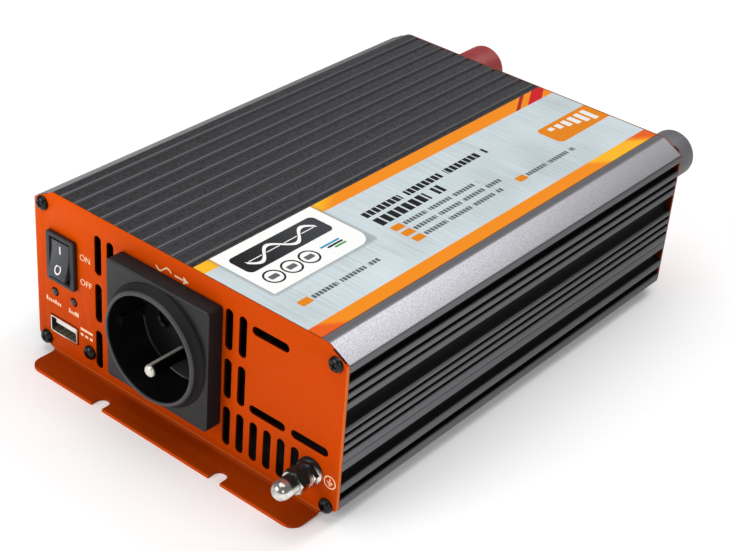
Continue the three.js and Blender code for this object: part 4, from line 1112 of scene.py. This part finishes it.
class INVERTER_OT_power_switch(PieceOperator):
    """Builds the rocker switch: its bezel, body, tabs and the rocker with its two signs"""

    bl_idname = "inverter.power_switch"
    bl_label = "Power Switch"

    def execute(self, context):
        rounding = self.sizes().moulding_round / MM
        low, high = span("switch_housing")
        x, z, width, height = (low.x + high.x) / 2, (low.z + high.z) / 2, high.x - low.x, high.z - low.z
        housing = bmesh.new()
        prism(housing, rectangle(x, z, width, height, 1.2), "xz", low.y, FRONT_FACE, 5)
        soften(housing, rounding, 3)
        body = bmesh.new()
        prism(body, rectangle(x, z, width - 2.4, height - 2.4, 0.4), "xz", FRONT_FACE - 0.8, FRONT_FACE + 15, 2)
        housing = combine(housing, body, "UNION")
        tabs = bmesh.new()
        for step in (-1, 0, 1):
            prism(tabs, rectangle(x, z + step * 6, 6.2, 0.8, 0.1), "xz", FRONT_FACE + 14, high.y, 2)
        housing = combine(housing, tabs, "UNION")
        well = bmesh.new()
        prism(well, rectangle(x, z, width - 5, height - 4, 0.5), "xz", low.y - 1, FRONT_FACE + 8, 3)
        ledge = bmesh.new()
        prism(ledge, rectangle(x, z, width - 4, height - 3, 0.6), "xz", low.y - 1, low.y + 0.45, 3)
        housing = combine(housing, well, "DIFFERENCE")
        housing = combine(housing, ledge, "DIFFERENCE")
        finish_piece(housing, "switch_bezel", finish("switch"), stands_for=["switch_housing"])

        pivot, valley = FRONT_FACE + 0.9, -2.5
        half, tilt = 7.4, math.radians(10)
        crest = valley - half * math.tan(tilt)
        section = [
            (crest, -half, 0.5), (valley, 0, 4.0), (crest, half, 0.5), (-0.6, half - 0.9, 0.3),
            (2.6, 2.6, 0.3), (2.6, -2.6, 0.3), (-0.6, -half + 0.9, 0.3),
        ]
        rocker = bmesh.new()
        prism(rocker, section, "yz", -4.7, 4.7, 8)
        soften(rocker, 0.28, 2, 50)
        pin = bmesh.new()
        rod(pin, 1.0, 20, -5.6, 5.6, along="X")
        rocker = combine(rocker, pin, "UNION")
        swing(rocker, -tilt, (x, pivot, z), "X")
        finish_piece(
            rocker, "rocker_cap", finish("rocker"), "rocker", ["switch_rocker"], crease=30)

        # Line and ring signs, each lying on its own slope of the rocker.
        signs = bmesh.new()
        lift = self.sizes().print_lift / MM
        off_centre = 3.9
        face = valley - off_centre * math.tan(tilt)
        for s in (1, -1):
            sign = bmesh.new()
            if s > 0:
                prism(sign, rectangle(0, 0, 0.75, 3.3, 0.1), "xz", -lift - 0.02, 0.0, 2)
            else:
                thick = lift + 0.02
                turned(sign, [(1.25, 0), (1.85, 0), (1.85, thick), (1.25, thick)], 0, 0, 0, FRONT, 40)
                bmesh.ops.scale(sign, vec=(0.9, 1, 1.08), verts=sign.verts)
            swing(sign, s * tilt, (0, face - 0.02, s * off_centre), "X")
            add_to(signs, sign)
        swing(signs, -tilt, (x, pivot, z), "X")
        finish_piece(signs, "rocker_signs", finish("white"), "rocker")
        return {"FINISHED"}


class INVERTER_OT_lamps(PieceOperator):
    """Builds the two small round lamps under the switch"""

    bl_idname = "inverter.lamps"
    bl_label = "Lamps"

    def execute(self, context):
        for node, name, colour in (
            ("power_lamp", "power_lens", "lamp_green"), ("fault_lamp", "fault_lens", "lamp_red"),
        ):
            place, (low, high) = middle(node), span(node)
            back = FRONT_FACE - high.y
            lens = bmesh.new()
            turned(
                lens,
                [(0, back), (1.6, back), (1.6, -2.8), (2.1, -2.8), (2.1, -1.6, 0.1), (1.6, -1.6),
                 (1.6, 0.2, 1.0), (0.9, 0.8, 0.4), (0, 0.8)],
                place.x, place.z, FRONT_FACE, FRONT, 32)
            finish_piece(lens, name, finish(colour), stands_for=[node], crease=40)
        return {"FINISHED"}


class INVERTER_OT_usb_port(PieceOperator):
    """Builds the USB socket: its folded metal shell with springs, and its tongue with contacts"""

    bl_idname = "inverter.usb_port"
    bl_label = "USB Port"

    def execute(self, context):
        low, high = span("usb_shell")
        x, z, width, height = (low.x + high.x) / 2, (low.z + high.z) / 2, high.x - low.x, high.z - low.z
        shell = bmesh.new()
        prism(shell, rectangle(x, z, width, height, 0.7), "xz", low.y, high.y, 4)
        hollow = bmesh.new()
        prism(hollow, rectangle(x, z, width - 1, height - 1, 0.35), "xz", low.y - 1, high.y - 1, 3)
        shell = combine(shell, hollow, "DIFFERENCE")
        springs = bmesh.new()
        for sx in (-3.2, 3.2):
            prism(springs, rectangle(x + sx, z - 2.85, 2.2, 0.4, 0.1), "xz", low.y + 3.5, low.y + 9, 2)
        shell = combine(shell, springs, "UNION")
        soften(shell, 0.1, 2, 60)
        finish_piece(shell, "usb_can", finish("usb"), stands_for=["usb_shell"])

        low, high = span("usb_tongue")
        tongue = bmesh.new()
        bar = rectangle((low.x + high.x) / 2, (low.z + high.z) / 2, high.x - low.x, high.z - low.z, 0.25)
        prism(tongue, bar, "xz", low.y, high.y, 3)
        soften(tongue, 0.15, 2, 60)
        finish_piece(tongue, "usb_tongue_body", finish("white"), stands_for=["usb_tongue"])
        contacts = bmesh.new()
        for step in (-3.5, -1.0, 1.0, 3.5):
            prism(contacts, rectangle(x + step, low.z - 0.1, 1.0, 0.2, 0.04), "xz", low.y + 0.8, low.y + 8, 1)
        finish_piece(contacts, "usb_contacts", finish("brass"))
        return {"FINISHED"}


# ---------------------------------------------------------------- mains outlet


class INVERTER_OT_outlet(PieceOperator):
    """Builds the mains outlet: its square face, raised rim, deep round well, pin and sockets"""

    bl_idname = "inverter.outlet"
    bl_label = "Mains Outlet"

    def execute(self, context):
        rounding = self.sizes().moulding_round / MM
        low, high = span("outlet_housing")
        x, z = (low.x + high.x) / 2, (low.z + high.z) / 2
        rim = FRONT_FACE - low.y
        back = high.y - FRONT_FACE
        face = 7.1
        housing = bmesh.new()
        square = rectangle(x, z, high.x - low.x, high.z - low.z, 1.6)
        prism(housing, square, "xz", FRONT_FACE - face, FRONT_FACE, 5)
        soften(housing, rounding, 3, 60)
        collar = bmesh.new()
        turned(
            collar,
            [(0, -back), (22, -back, 0.6), (22, 0.5), (23.9, 0.5), (23.9, face + 0.4, 0.5),
             (22.5, face + 1.6, 1.2), (21.7, rim, 0.7), (0, rim)],
            x, z, FRONT_FACE, FRONT, 96)
        housing = combine(housing, collar, "UNION")
        well = bmesh.new()
        turned(well, [(0, rim + 1), (20.9, rim + 1), (20.3, rim - 0.5, 0.5), (20.0, -6, 0.8), (0, -6)],
               x, z, FRONT_FACE, FRONT, 96)
        housing = combine(housing, well, "DIFFERENCE")
        pin = middle("earth_pin")
        bores = bmesh.new()
        for sx in (-9.5, 9.5):
            turned(bores, [(0, -9), (2.6, -9), (2.6, -6.6), (3.3, -5.9), (3.3, -4), (0, -4)],
                   x + sx, z, FRONT_FACE, FRONT, 32)
            rod(bores, 3.05, 28, FRONT_FACE + 8.0, high.y + 1, x + sx, z)
        rod(bores, 2.55, 28, FRONT_FACE + 5, high.y + 1, x, pin.z)
        housing = combine(housing, bores, "DIFFERENCE")
        guides = bmesh.new()
        for turn in (0, math.pi):
            rib = bmesh.new()
            prism(rib, [(18.7, -2.2, 0.3), (20.6, -2.2), (20.6, 2.2), (18.7, 2.2, 0.3)], "xz",
                  FRONT_FACE - 5.5, FRONT_FACE + 6.5, 3)
            swing(rib, turn, (x, 0, z))
            add_to(guides, rib)
        housing = combine(housing, guides, "UNION")
        # Faces inside the well take the painted-shade plastic.
        for piece in housing.faces:
            centre = piece.calc_center_median()
            away = math.hypot(centre.x - x, centre.z - z)
            if away < 21.0 and centre.y > FRONT_FACE - rim + 0.4:
                piece.material_index = 1
        finish_piece(
            housing, "outlet_body", [finish("outlet"), finish("outlet_inside")],
            stands_for=["outlet_housing"], crease=26)

        tail = span("earth_pin")[1].y - FRONT_FACE
        tip = FRONT_FACE - span("earth_pin")[0].y
        earth = bmesh.new()
        turned(earth, [(0, -tail), (2.4, -tail, 0.2), (2.4, tip - 0.2, 1.5), (0.9, tip, 0.5), (0, tip)],
               x, pin.z, FRONT_FACE, FRONT, 40)
        finish_piece(earth, "earth_prong", finish("pin"), stands_for=["earth_pin"], crease=50)
        refinish(finish("brass"), "line_contact", "neutral_contact")
        return {"FINISHED"}


# ---------------------------------------------------------------- ground post


def chamfered_hex(x, z, across_flats, near, far):
    """A hexagon nut blank between two distances out from the panel, its corners turned down at both ends."""
    corner = across_flats / math.sqrt(3)
    flat = across_flats / 2
    nut = bmesh.new()
    rod(nut, corner, 6, FRONT_FACE - far, FRONT_FACE - near, x, z, turn=math.radians(18))
    cone = bmesh.new()
    turned(
        cone,
        [(0, near), (flat, near), (corner + 0.1, near + 0.55), (corner + 0.1, far - 0.55), (flat, far),
         (0, far)],
        x, z, FRONT_FACE, FRONT, 48)
    return combine(nut, cone, "INTERSECT")


class INVERTER_OT_ground_post(PieceOperator):
    """Builds the ground post: flanged base nut, stud, double washer and domed cap nut"""

    bl_idname = "inverter.ground_post"
    bl_label = "Ground Post"

    def execute(self, context):
        place = middle("ground_stud")
        x, z = place.x, place.z
        base_low, base_high = span("ground_base_nut")
        base = FRONT_FACE - base_low.y
        flange = (base_high.x - base_low.x) / 2
        nut = chamfered_hex(x, z, 8.8, 0.5, base)
        disc = bmesh.new()
        turned(disc, [(0, 0), (flange, 0, 0.3), (flange, 1.1, 0.6), (4.6, 1.7, 0.4), (0, 1.7)],
               x, z, FRONT_FACE, FRONT, 48)
        nut = combine(nut, disc, "UNION")
        bore = bmesh.new()
        turned(bore, [(0, -1), (2.65, -1), (2.65, base + 1), (0, base + 1)], x, z, FRONT_FACE, FRONT, 32)
        nut = combine(nut, bore, "DIFFERENCE")
        finish_piece(
            nut, "ground_base", finish("nut"), stands_for=["ground_base_nut"], crease=26)

        washers = bmesh.new()
        for start in (base + 0.02, base + 0.86):
            turned(
                washers,
                [(2.8, start, 0.1), (4.4, start, 0.2), (4.4, start + 0.7, 0.2), (2.8, start + 0.7, 0.1)],
                x, z, FRONT_FACE, FRONT, 48)
        finish_piece(
            washers, "ground_washers", finish("nut"), "ground_lock_washer", ["ground_washer"])

        cap_low, cap_high = span("ground_cap_nut")
        near, tip = FRONT_FACE - cap_high.y, FRONT_FACE - cap_low.y
        cap = chamfered_hex(x, z, 8.6, near, near + 4.6)
        dome = bmesh.new()
        turned(
            dome, [(0, near + 3), (3.7, near + 3), (3.7, tip, 3.4), (0, tip)], x, z, FRONT_FACE, FRONT, 48)
        cap = combine(cap, dome, "UNION")
        bore = bmesh.new()
        stud_tip = FRONT_FACE - span("ground_stud")[0].y
        turned(bore, [(0, near - 1), (2.8, near - 1), (2.8, stud_tip + 1.0), (0, stud_tip + 2.0)],
               x, z, FRONT_FACE, FRONT, 32)
        cap = combine(cap, bore, "DIFFERENCE")
        finish_piece(
            cap, "ground_cap", finish("nut"), "ground_nut", ["ground_cap_nut"], crease=26)

        stud = bmesh.new()
        back = span("ground_stud")[1].y - FRONT_FACE
        turned(stud, [(0, -back), (2.5, -back, 0.4), (2.5, stud_tip, 0.5), (0, stud_tip)],
               x, z, FRONT_FACE, FRONT, 32)
        finish_piece(stud, "ground_post", finish("chrome"), stands_for=["ground_stud"])
        refinish(finish("chrome"), "ground_inner_nut")
        return {"FINISHED"}


# ---------------------------------------------------------------- rear terminals


class INVERTER_OT_terminals(PieceOperator):
    """Builds the two rear terminals: stud, insulating bush, clamp washer and fluted knob"""

    bl_idname = "inverter.terminals"
    bl_label = "Rear Terminals"

    def execute(self, context):
        sizes = self.sizes()
        depth = sizes.flute_depth / MM
        for sign, colour in (("positive", "knob_red"), ("negative", "knob_grey")):
            place = middle(f"terminal_stud_{sign}")
            x, z = place.x, place.z
            stud_low, stud_high = span(f"terminal_stud_{sign}")
            inner, tip = stud_low.y - REAR_FACE, stud_high.y - REAR_FACE
            stud = bmesh.new()
            turned(stud, [(0, inner), (4.0, inner, 0.5), (4.0, tip, 0.7), (0, tip)], x, z, REAR_FACE, REAR, 40)
            finish_piece(stud, f"stud_{sign}", finish("brass"), stands_for=[f"terminal_stud_{sign}"])

            bush_low, bush_high = span(f"terminal_bush_{sign}")
            flange, rise = (bush_high.x - bush_low.x) / 2, bush_high.y - REAR_FACE
            bush = bmesh.new()
            turned(
                bush,
                [(4.15, -6), (5.5, -6, 0.3), (5.5, 0), (flange, 0, 0.2), (flange, rise - 0.7, 0.6),
                 (flange - 1.1, rise, 0.4), (4.15, rise)],
                x, z, REAR_FACE, REAR, 56)
            finish_piece(
                bush, f"bush_{sign}", finish("black"), stands_for=[f"terminal_bush_{sign}"])

            washer_low, washer_high = span(f"clamp_washer_{sign}")
            rim, top = (washer_high.x - washer_low.x) / 2, washer_high.y - REAR_FACE
            washer = bmesh.new()
            turned(washer, [(4.3, rise, 0.1), (rim, rise, 0.2), (rim, top, 0.25), (4.3, top, 0.1)],
                   x, z, REAR_FACE, REAR, 56)
            finish_piece(
                washer, f"washer_{sign}", finish("chrome"), f"{sign}_washer",
                [f"clamp_washer_{sign}"])

            knob_low, knob_high = span(f"terminal_knob_{sign}")
            start, end = knob_low.y - REAR_FACE, knob_high.y - REAR_FACE
            radius = (knob_high.x - knob_low.x) / 2
            knob = bmesh.new()
            turned(
                knob,
                [(0, tip + 1.6), (4.3, tip + 1.6), (4.3, start, 0.2),
                 (radius - 0.6, start, 0.5), (radius, start + 1.4, 0.8), (radius, end, 2.3),
                 (radius - 4.2, end, 0.5), (radius - 4.8, end - 0.7, 0.4), (0, end - 0.7)],
                x, z, REAR_FACE, REAR, sizes.flutes * 4)
            # Shallow grip flutes: every other pair of columns is drawn in on the knob's side.
            for v in knob.verts:
                reach = (v.co.y - REAR_FACE - start) / (end - start)
                arm = Vector((v.co.x - x, 0, v.co.z - z))
                if 0.16 < reach < 0.86 and arm.length > radius - 0.3:
                    angle = math.atan2(arm.z, arm.x)
                    wave = 0.5 - 0.5 * math.cos(angle * sizes.flutes)
                    v.co -= arm.normalized() * depth * wave
            finish_piece(
                knob, f"knob_{sign}", finish(colour),
                f"{sign}_knob", [f"terminal_knob_{sign}"], crease=45)
        return {"FINISHED"}


# ---------------------------------------------------------------- fan


class INVERTER_OT_fan(PieceOperator):
    """Builds the cooling fan's frame, its rotor with curved blades, and the wire guard over it"""

    bl_idname = "inverter.fan"
    bl_label = "Fan and Guard"

    def execute(self, context):
        low, high = span("fan_frame")
        x, z = (low.x + high.x) / 2, (low.z + high.z) / 2
        depth = high.y - low.y
        housing = bmesh.new()
        prism(housing, rectangle(x, z, high.x - low.x, high.z - low.z, 4.0), "xz", low.y, high.y, 5)
        duct = bmesh.new()
        turned(duct, [(0, -1), (FAN_DUCT, -1), (FAN_DUCT, depth + 1), (0, depth + 1)], x, z, low.y, REAR, 96)
        housing = combine(housing, duct, "DIFFERENCE")
        hub = bmesh.new()
        turned(hub, [(0, 0), (12, 0, 0.4), (12, 2.5, 0.4), (0, 2.5)], x, z, low.y, REAR, 48)
        for angle in (45, 135, 225, 315):
            arm = bmesh.new()
            prism(arm, [(11, -1.5), (29.5, -1.5), (29.5, 1.5), (11, 1.5)], "xz", low.y, low.y + 2.5)
            swing(arm, math.radians(angle), (x, 0, z))
            hub = combine(hub, arm, "UNION")
        housing = combine(housing, hub, "UNION")
        bores = bmesh.new()
        drill(bores, FAN_SCREWS, SCREW_HOLE, 20, low.y - 1, high.y + 1)
        turned(bores, [(0, -1), (1.65, -1), (1.65, 4), (0, 4)], x, z, low.y, REAR, 24)
        housing = combine(housing, bores, "DIFFERENCE")
        finish_piece(housing, "fan_housing", finish("black"), stands_for=["fan_frame"])

        rotor = bmesh.new()
        turned(
            rotor,
            [(0, 0), (1.5, 0), (1.5, 2.8), (11.5, 2.8, 0.4), (11.5, 13.8, 1.0), (7.5, 13.8, 0.2),
             (7.2, 13.5, 0.2), (0, 13.5)],
            x, z, low.y, REAR, 56)
        blades = 7
        for number in range(blades):
            blade = bmesh.new()
            bmesh.ops.create_grid(blade, x_segments=10, y_segments=8, size=0.5)
            for v in blade.verts:
                out, chord = v.co.x + 0.5, v.co.y
                twist = math.radians(48 - 20 * out)
                width = 12.6 * (0.72 + 0.28 * out)
                camber = 1.1 * (1 - 4 * chord * chord)
                across, depth_at = chord * width * math.cos(twist), chord * width * math.sin(twist)
                v.co = Vector((10.8 + 16.2 * out, depth_at * 0.78 + camber * 0.7, across + camber * 0.7))
            bmesh.ops.solidify(blade, geom=list(blade.faces), thickness=0.9)
            bmesh.ops.recalc_face_normals(blade, faces=blade.faces)
            swing(blade, 2 * math.pi * number / blades, (x, low.y + 8.3, z))
            rotor = combine(rotor, blade, "UNION")
        finish_piece(rotor, "fan_wheel", finish("black"), "fan", ["fan_rotor"], crease=40)

        wire = 0.9
        guard = bmesh.new()
        for radius in (10.0, 17.0, 24.0):
            hoop(guard, radius, wire, (x, REAR_FACE, z))
        for angle in (45, 135, 225, 315):
            spoke = bmesh.new()
            rod(spoke, wire * 0.98, 12, 10.0, 34.0, along="X")
            swing(spoke, math.radians(angle), (x, REAR_FACE + wire, z))
            guard = combine(guard, spoke, "UNION")
        for screw in FAN_SCREWS:
            place = middle(screw)
            eye = bmesh.new()
            turned(eye, [(1.6, 0), (3.5, 0, 0.3), (3.5, wire * 2, 0.5), (1.6, wire * 2)],
                   place.x, place.z, REAR_FACE, REAR, 32)
            guard = combine(guard, eye, "UNION")
        finish_piece(guard, "guard_wires", finish("screw"), stands_for=["fan_guard"], crease=40)
        return {"FINISHED"}


# ---------------------------------------------------------------- printed signs


def written(bm, words, x, z, height, lift, bold=0.02):
    """Adds upright block capitals on the front panel, their left end at x and their foot at z."""
    text = bpy.data.curves.new("words", "FONT")
    text.body, text.size, text.extrude, text.offset = words, height / 0.7, lift / 2, bold
    obj = bpy.data.objects.new("words", text)
    bpy.context.scene.collection.objects.link(obj)
    bpy.context.view_layer.update()
    mesh = bpy.data.meshes.new_from_object(obj.evaluated_get(bpy.context.evaluated_depsgraph_get()))
    mesh.transform(
        Matrix.Translation((x, FRONT_FACE - lift / 2, z)) @ Matrix.Rotation(math.radians(90), 4, "X"))
    bm.from_mesh(mesh)
    bpy.data.objects.remove(obj)
    bpy.data.meshes.remove(mesh)


class INVERTER_OT_signs(PieceOperator):
    """Prints the generic signs on the front panel: on and off, mains wave, direct current and earth"""

    bl_idname = "inverter.signs"
    bl_label = "Printed Signs"

    def execute(self, context):
        lift = self.sizes().print_lift / MM
        signs = bmesh.new()
        start, end = FRONT_FACE - lift, FRONT_FACE + 0.01
        beside_switch, capital = -51.2, 2.5
        written(signs, "ON", beside_switch, 49.4, capital, lift)
        written(signs, "OFF", beside_switch, 38.9, capital, lift)

        # A wave and an outward arrow for the alternating current outlet.
        wave = bmesh.new()
        bmesh.ops.create_grid(wave, x_segments=40, y_segments=1, size=0.5)
        for v in wave.verts:
            turn = v.co.x * 2 * math.pi
            v.co = Vector((-8.2 + v.co.x * 7.6, start, 64.8 + math.sin(turn) * 1.15 + v.co.y * 0.75))
        edge = bmesh.ops.extrude_face_region(wave, geom=list(wave.faces), use_keep_orig=True)
        moved = [e for e in edge["geom"] if isinstance(e, bmesh.types.BMVert)]
        bmesh.ops.translate(wave, vec=(0, end - start, 0), verts=moved)
        bmesh.ops.recalc_face_normals(wave, faces=wave.faces)
        add_to(signs, wave)

        prism(signs, rectangle(-0.6, 64.7, 4.4, 0.7, 0.1), "xz", start, end, 1)
        prism(signs, [(1.4, 63.2), (4.0, 64.7), (1.4, 66.2)], "xz", start, end, 1)

        # Blocks under the lamps, and a straight line over dashes for direct current at the USB port.
        power, fault = middle("power_lamp").x, middle("fault_lamp").x
        under_power = ((-4.6, 2.0), (-3.4, 1.3), (-2.2, 1.3), (-1.0, 1.3), (0.2, 1.8), (1.4, 1.3), (2.6, 1.3))
        under_fault = ((-2.4, 2.0), (-1.2, 1.3), (0.0, 1.3), (1.1, 2.0), (2.1, 1.8))
        for lamp, foot, blocks in ((power, 23.3, under_power), (fault, 23.1, under_fault)):
            for dx, tall in blocks:
                prism(signs, rectangle(lamp + dx, foot + tall / 2, 0.8, tall, 0.15), "xz", start, end, 1)
        beside_usb = -48.3
        prism(signs, rectangle(beside_usb, 19.0, 6.6, 1.1, 0.1), "xz", start, end, 1)
        for dx in (-2.5, 0.0, 2.5):
            prism(signs, rectangle(beside_usb + dx, 16.5, 1.6, 1.1, 0.1), "xz", start, end, 1)

        # Earth sign: a ring round a stem over three bars.
        ground = middle("ground_stud")
        ex, ez = ground.x + 8.4, ground.z - 0.5
        turned(signs, [(2.2, 0), (2.65, 0), (2.65, lift), (2.2, lift)], ex, ez, FRONT_FACE, FRONT, 48)
        prism(signs, rectangle(ex, ez + 0.85, 0.42, 1.5, 0.02), "xz", start, end, 1)
        for width, drop in ((2.7, 0.0), (1.8, -0.7), (0.8, -1.4)):
            prism(signs, rectangle(ex, ez + drop, width, 0.4, 0.02), "xz", start, end, 1)
        finish_piece(signs, "panel_signs", finish("print"))
        return {"FINISHED"}


# ---------------------------------------------------------------- circuit board


class INVERTER_OT_circuit(PieceOperator):
    """Finishes the circuit board, transformers, capacitors, transistors and leads inside the case"""

    bl_idname = "inverter.circuit"
    bl_label = "Circuit Board"

    def execute(self, context):
        for key, nodes in {
            "board": ("main_board", "usb_board"),
            "bracket": ("board_bracket",),
            "ferrite": ("transformer_core_1", "transformer_core_2"),
            "winding": ("transformer_winding_1", "transformer_winding_2"),
            "capacitor": ("input_capacitor", "output_capacitor"),
            "black": ("transistor_bank_left", "transistor_bank_right"),
            "copper": ("output_choke",),
            "red_rubber": ("dc_lead_positive",),
            "rubber": ("dc_lead_negative", "ac_lead_line", "ac_lead_neutral"),
        }.items():
            refinish(finish(key), *nodes)
        return {"FINISHED"}


# ---------------------------------------------------------------- studio


def area_light(name, place, target, size, power):
    light = bpy.data.lights.new(name, "AREA")
    light.shape, light.size, light.size_y = "RECTANGLE", size[0], size[1]
    light.energy = power
    obj = bpy.data.objects.new(name, light)
    obj.location = place
    obj.rotation_mode = "QUATERNION"
    obj.rotation_quaternion = (Vector(target) - Vector(place)).to_track_quat("-Z", "Y")
    bpy.context.scene.collection.objects.link(obj)


class INVERTER_OT_studio(PieceOperator):
    """Sets out the pale floor, the soft lights and the camera"""

    bl_idname = "inverter.studio"
    bl_label = "Studio"

    def execute(self, context):
        scene = context.scene
        floor = bmesh.new()
        bmesh.ops.create_grid(floor, x_segments=1, y_segments=1, size=3.0)
        mesh = mesh_of(floor, "floor")
        mesh.materials.append(finish("floor"))
        ground = bpy.data.objects.new("floor", mesh)
        scene.collection.objects.link(ground)

        world = bpy.data.worlds.new("studio")
        world.use_nodes = True
        sky = world.node_tree.nodes["Background"]
        sky.inputs["Color"].default_value = (1.0, 1.0, 1.0, 1)
        sky.inputs["Strength"].default_value = 0.2
        scene.world = world
        scene.view_settings.view_transform = "Standard"

        # Name, place, what it points at, size and power.
        for light in (
            ("front_key", (-0.55, -1.25, 0.62), (0.0, -0.1, 0.03), (0.9, 0.7), 9.5),
            ("rear_shoulder", (0.25, 1.15, 1.2), (0.05, 0.0, 0.06), (0.5, 0.8), 7),
            ("right_fill", (1.1, -0.85, 0.6), (0.05, -0.05, 0.03), (0.6, 0.6), 3.2),
            ("overhead", (-0.1, 0.1, 1.5), (0.0, 0.0, 0.05), (1.4, 1.4), 13.5),
        ):
            area_light(*light)

        camera = bpy.data.cameras.new("camera")
        camera.sensor_width, camera.sensor_fit, camera.lens = 36.0, "HORIZONTAL", 81.252
        camera.clip_start, camera.clip_end = 0.01, 20
        view = bpy.data.objects.new("camera", camera)
        view.rotation_mode = "QUATERNION"
        view.rotation_quaternion, view.location = camera_place()
        scene.collection.objects.link(view)
        scene.camera = view
        return {"FINISHED"}


def camera_place():
    """The camera's turn and place, from where the panel's lower edge lies before the lens."""
    azimuth, elevation, roll = (math.radians(angle) for angle in (37.2045, 32.3386, 4.8421))
    across, above, away = (distance * 1.5 for distance in (-45.1698, -33.5902, 397.3395))
    back = Vector((
        math.sin(azimuth) * math.cos(elevation), -math.cos(azimuth) * math.cos(elevation), math.sin(elevation)))
    right = (-back).cross(Vector((0, 0, 1))).normalized()
    up = right.cross(-back)
    side = math.cos(roll) * right + math.sin(roll) * up
    top = -math.sin(roll) * right + math.cos(roll) * up
    turn = Matrix((side, top, back)).transposed()
    place = Vector((0, FRONT_FACE, FOOT_RISE)) - side * across - top * above + back * away
    return turn.to_quaternion(), place * MM


# ---------------------------------------------------------------- panel and registration

STEPS = (
    INVERTER_OT_studio, INVERTER_OT_case, INVERTER_OT_front_panel, INVERTER_OT_rear_panel, INVERTER_OT_screws,
    INVERTER_OT_power_switch, INVERTER_OT_lamps, INVERTER_OT_usb_port, INVERTER_OT_outlet,
    INVERTER_OT_ground_post, INVERTER_OT_terminals, INVERTER_OT_fan, INVERTER_OT_signs, INVERTER_OT_circuit,
)


class INVERTER_PT_panel(bpy.types.Panel):
    """Lists the inverter's pieces and settings in the sidebar"""

    bl_idname = "INVERTER_PT_panel"
    bl_label = "Power Inverter"
    bl_space_type = "VIEW_3D"
    bl_region_type = "UI"
    bl_category = "Inverter"

    def draw(self, context):
        column = self.layout.column(align=True)
        for step in STEPS:
            column.operator(step.bl_idname)
        for group in (context.scene.inverter_sizes, context.scene.inverter_colours):
            settings = self.layout.column(align=True)
            for name in group.bl_rna.properties.keys():
                if name not in ("rna_type", "name"):
                    settings.prop(group, name)


CLASSES = (InverterSizes, InverterColours, *STEPS, INVERTER_PT_panel)


def register():
    for cls in CLASSES:
        bpy.utils.register_class(cls)
    bpy.types.Scene.inverter_sizes = bpy.props.PointerProperty(type=InverterSizes)
    bpy.types.Scene.inverter_colours = bpy.props.PointerProperty(type=InverterColours)


def unregister():
    del bpy.types.Scene.inverter_colours
    del bpy.types.Scene.inverter_sizes
    for cls in reversed(CLASSES):
        bpy.utils.unregister_class(cls)


def main():
    register()
    for step in STEPS:
        group, name = step.bl_idname.split(".")
        getattr(getattr(bpy.ops, group), name)()


if __name__ == "__main__":
    main()
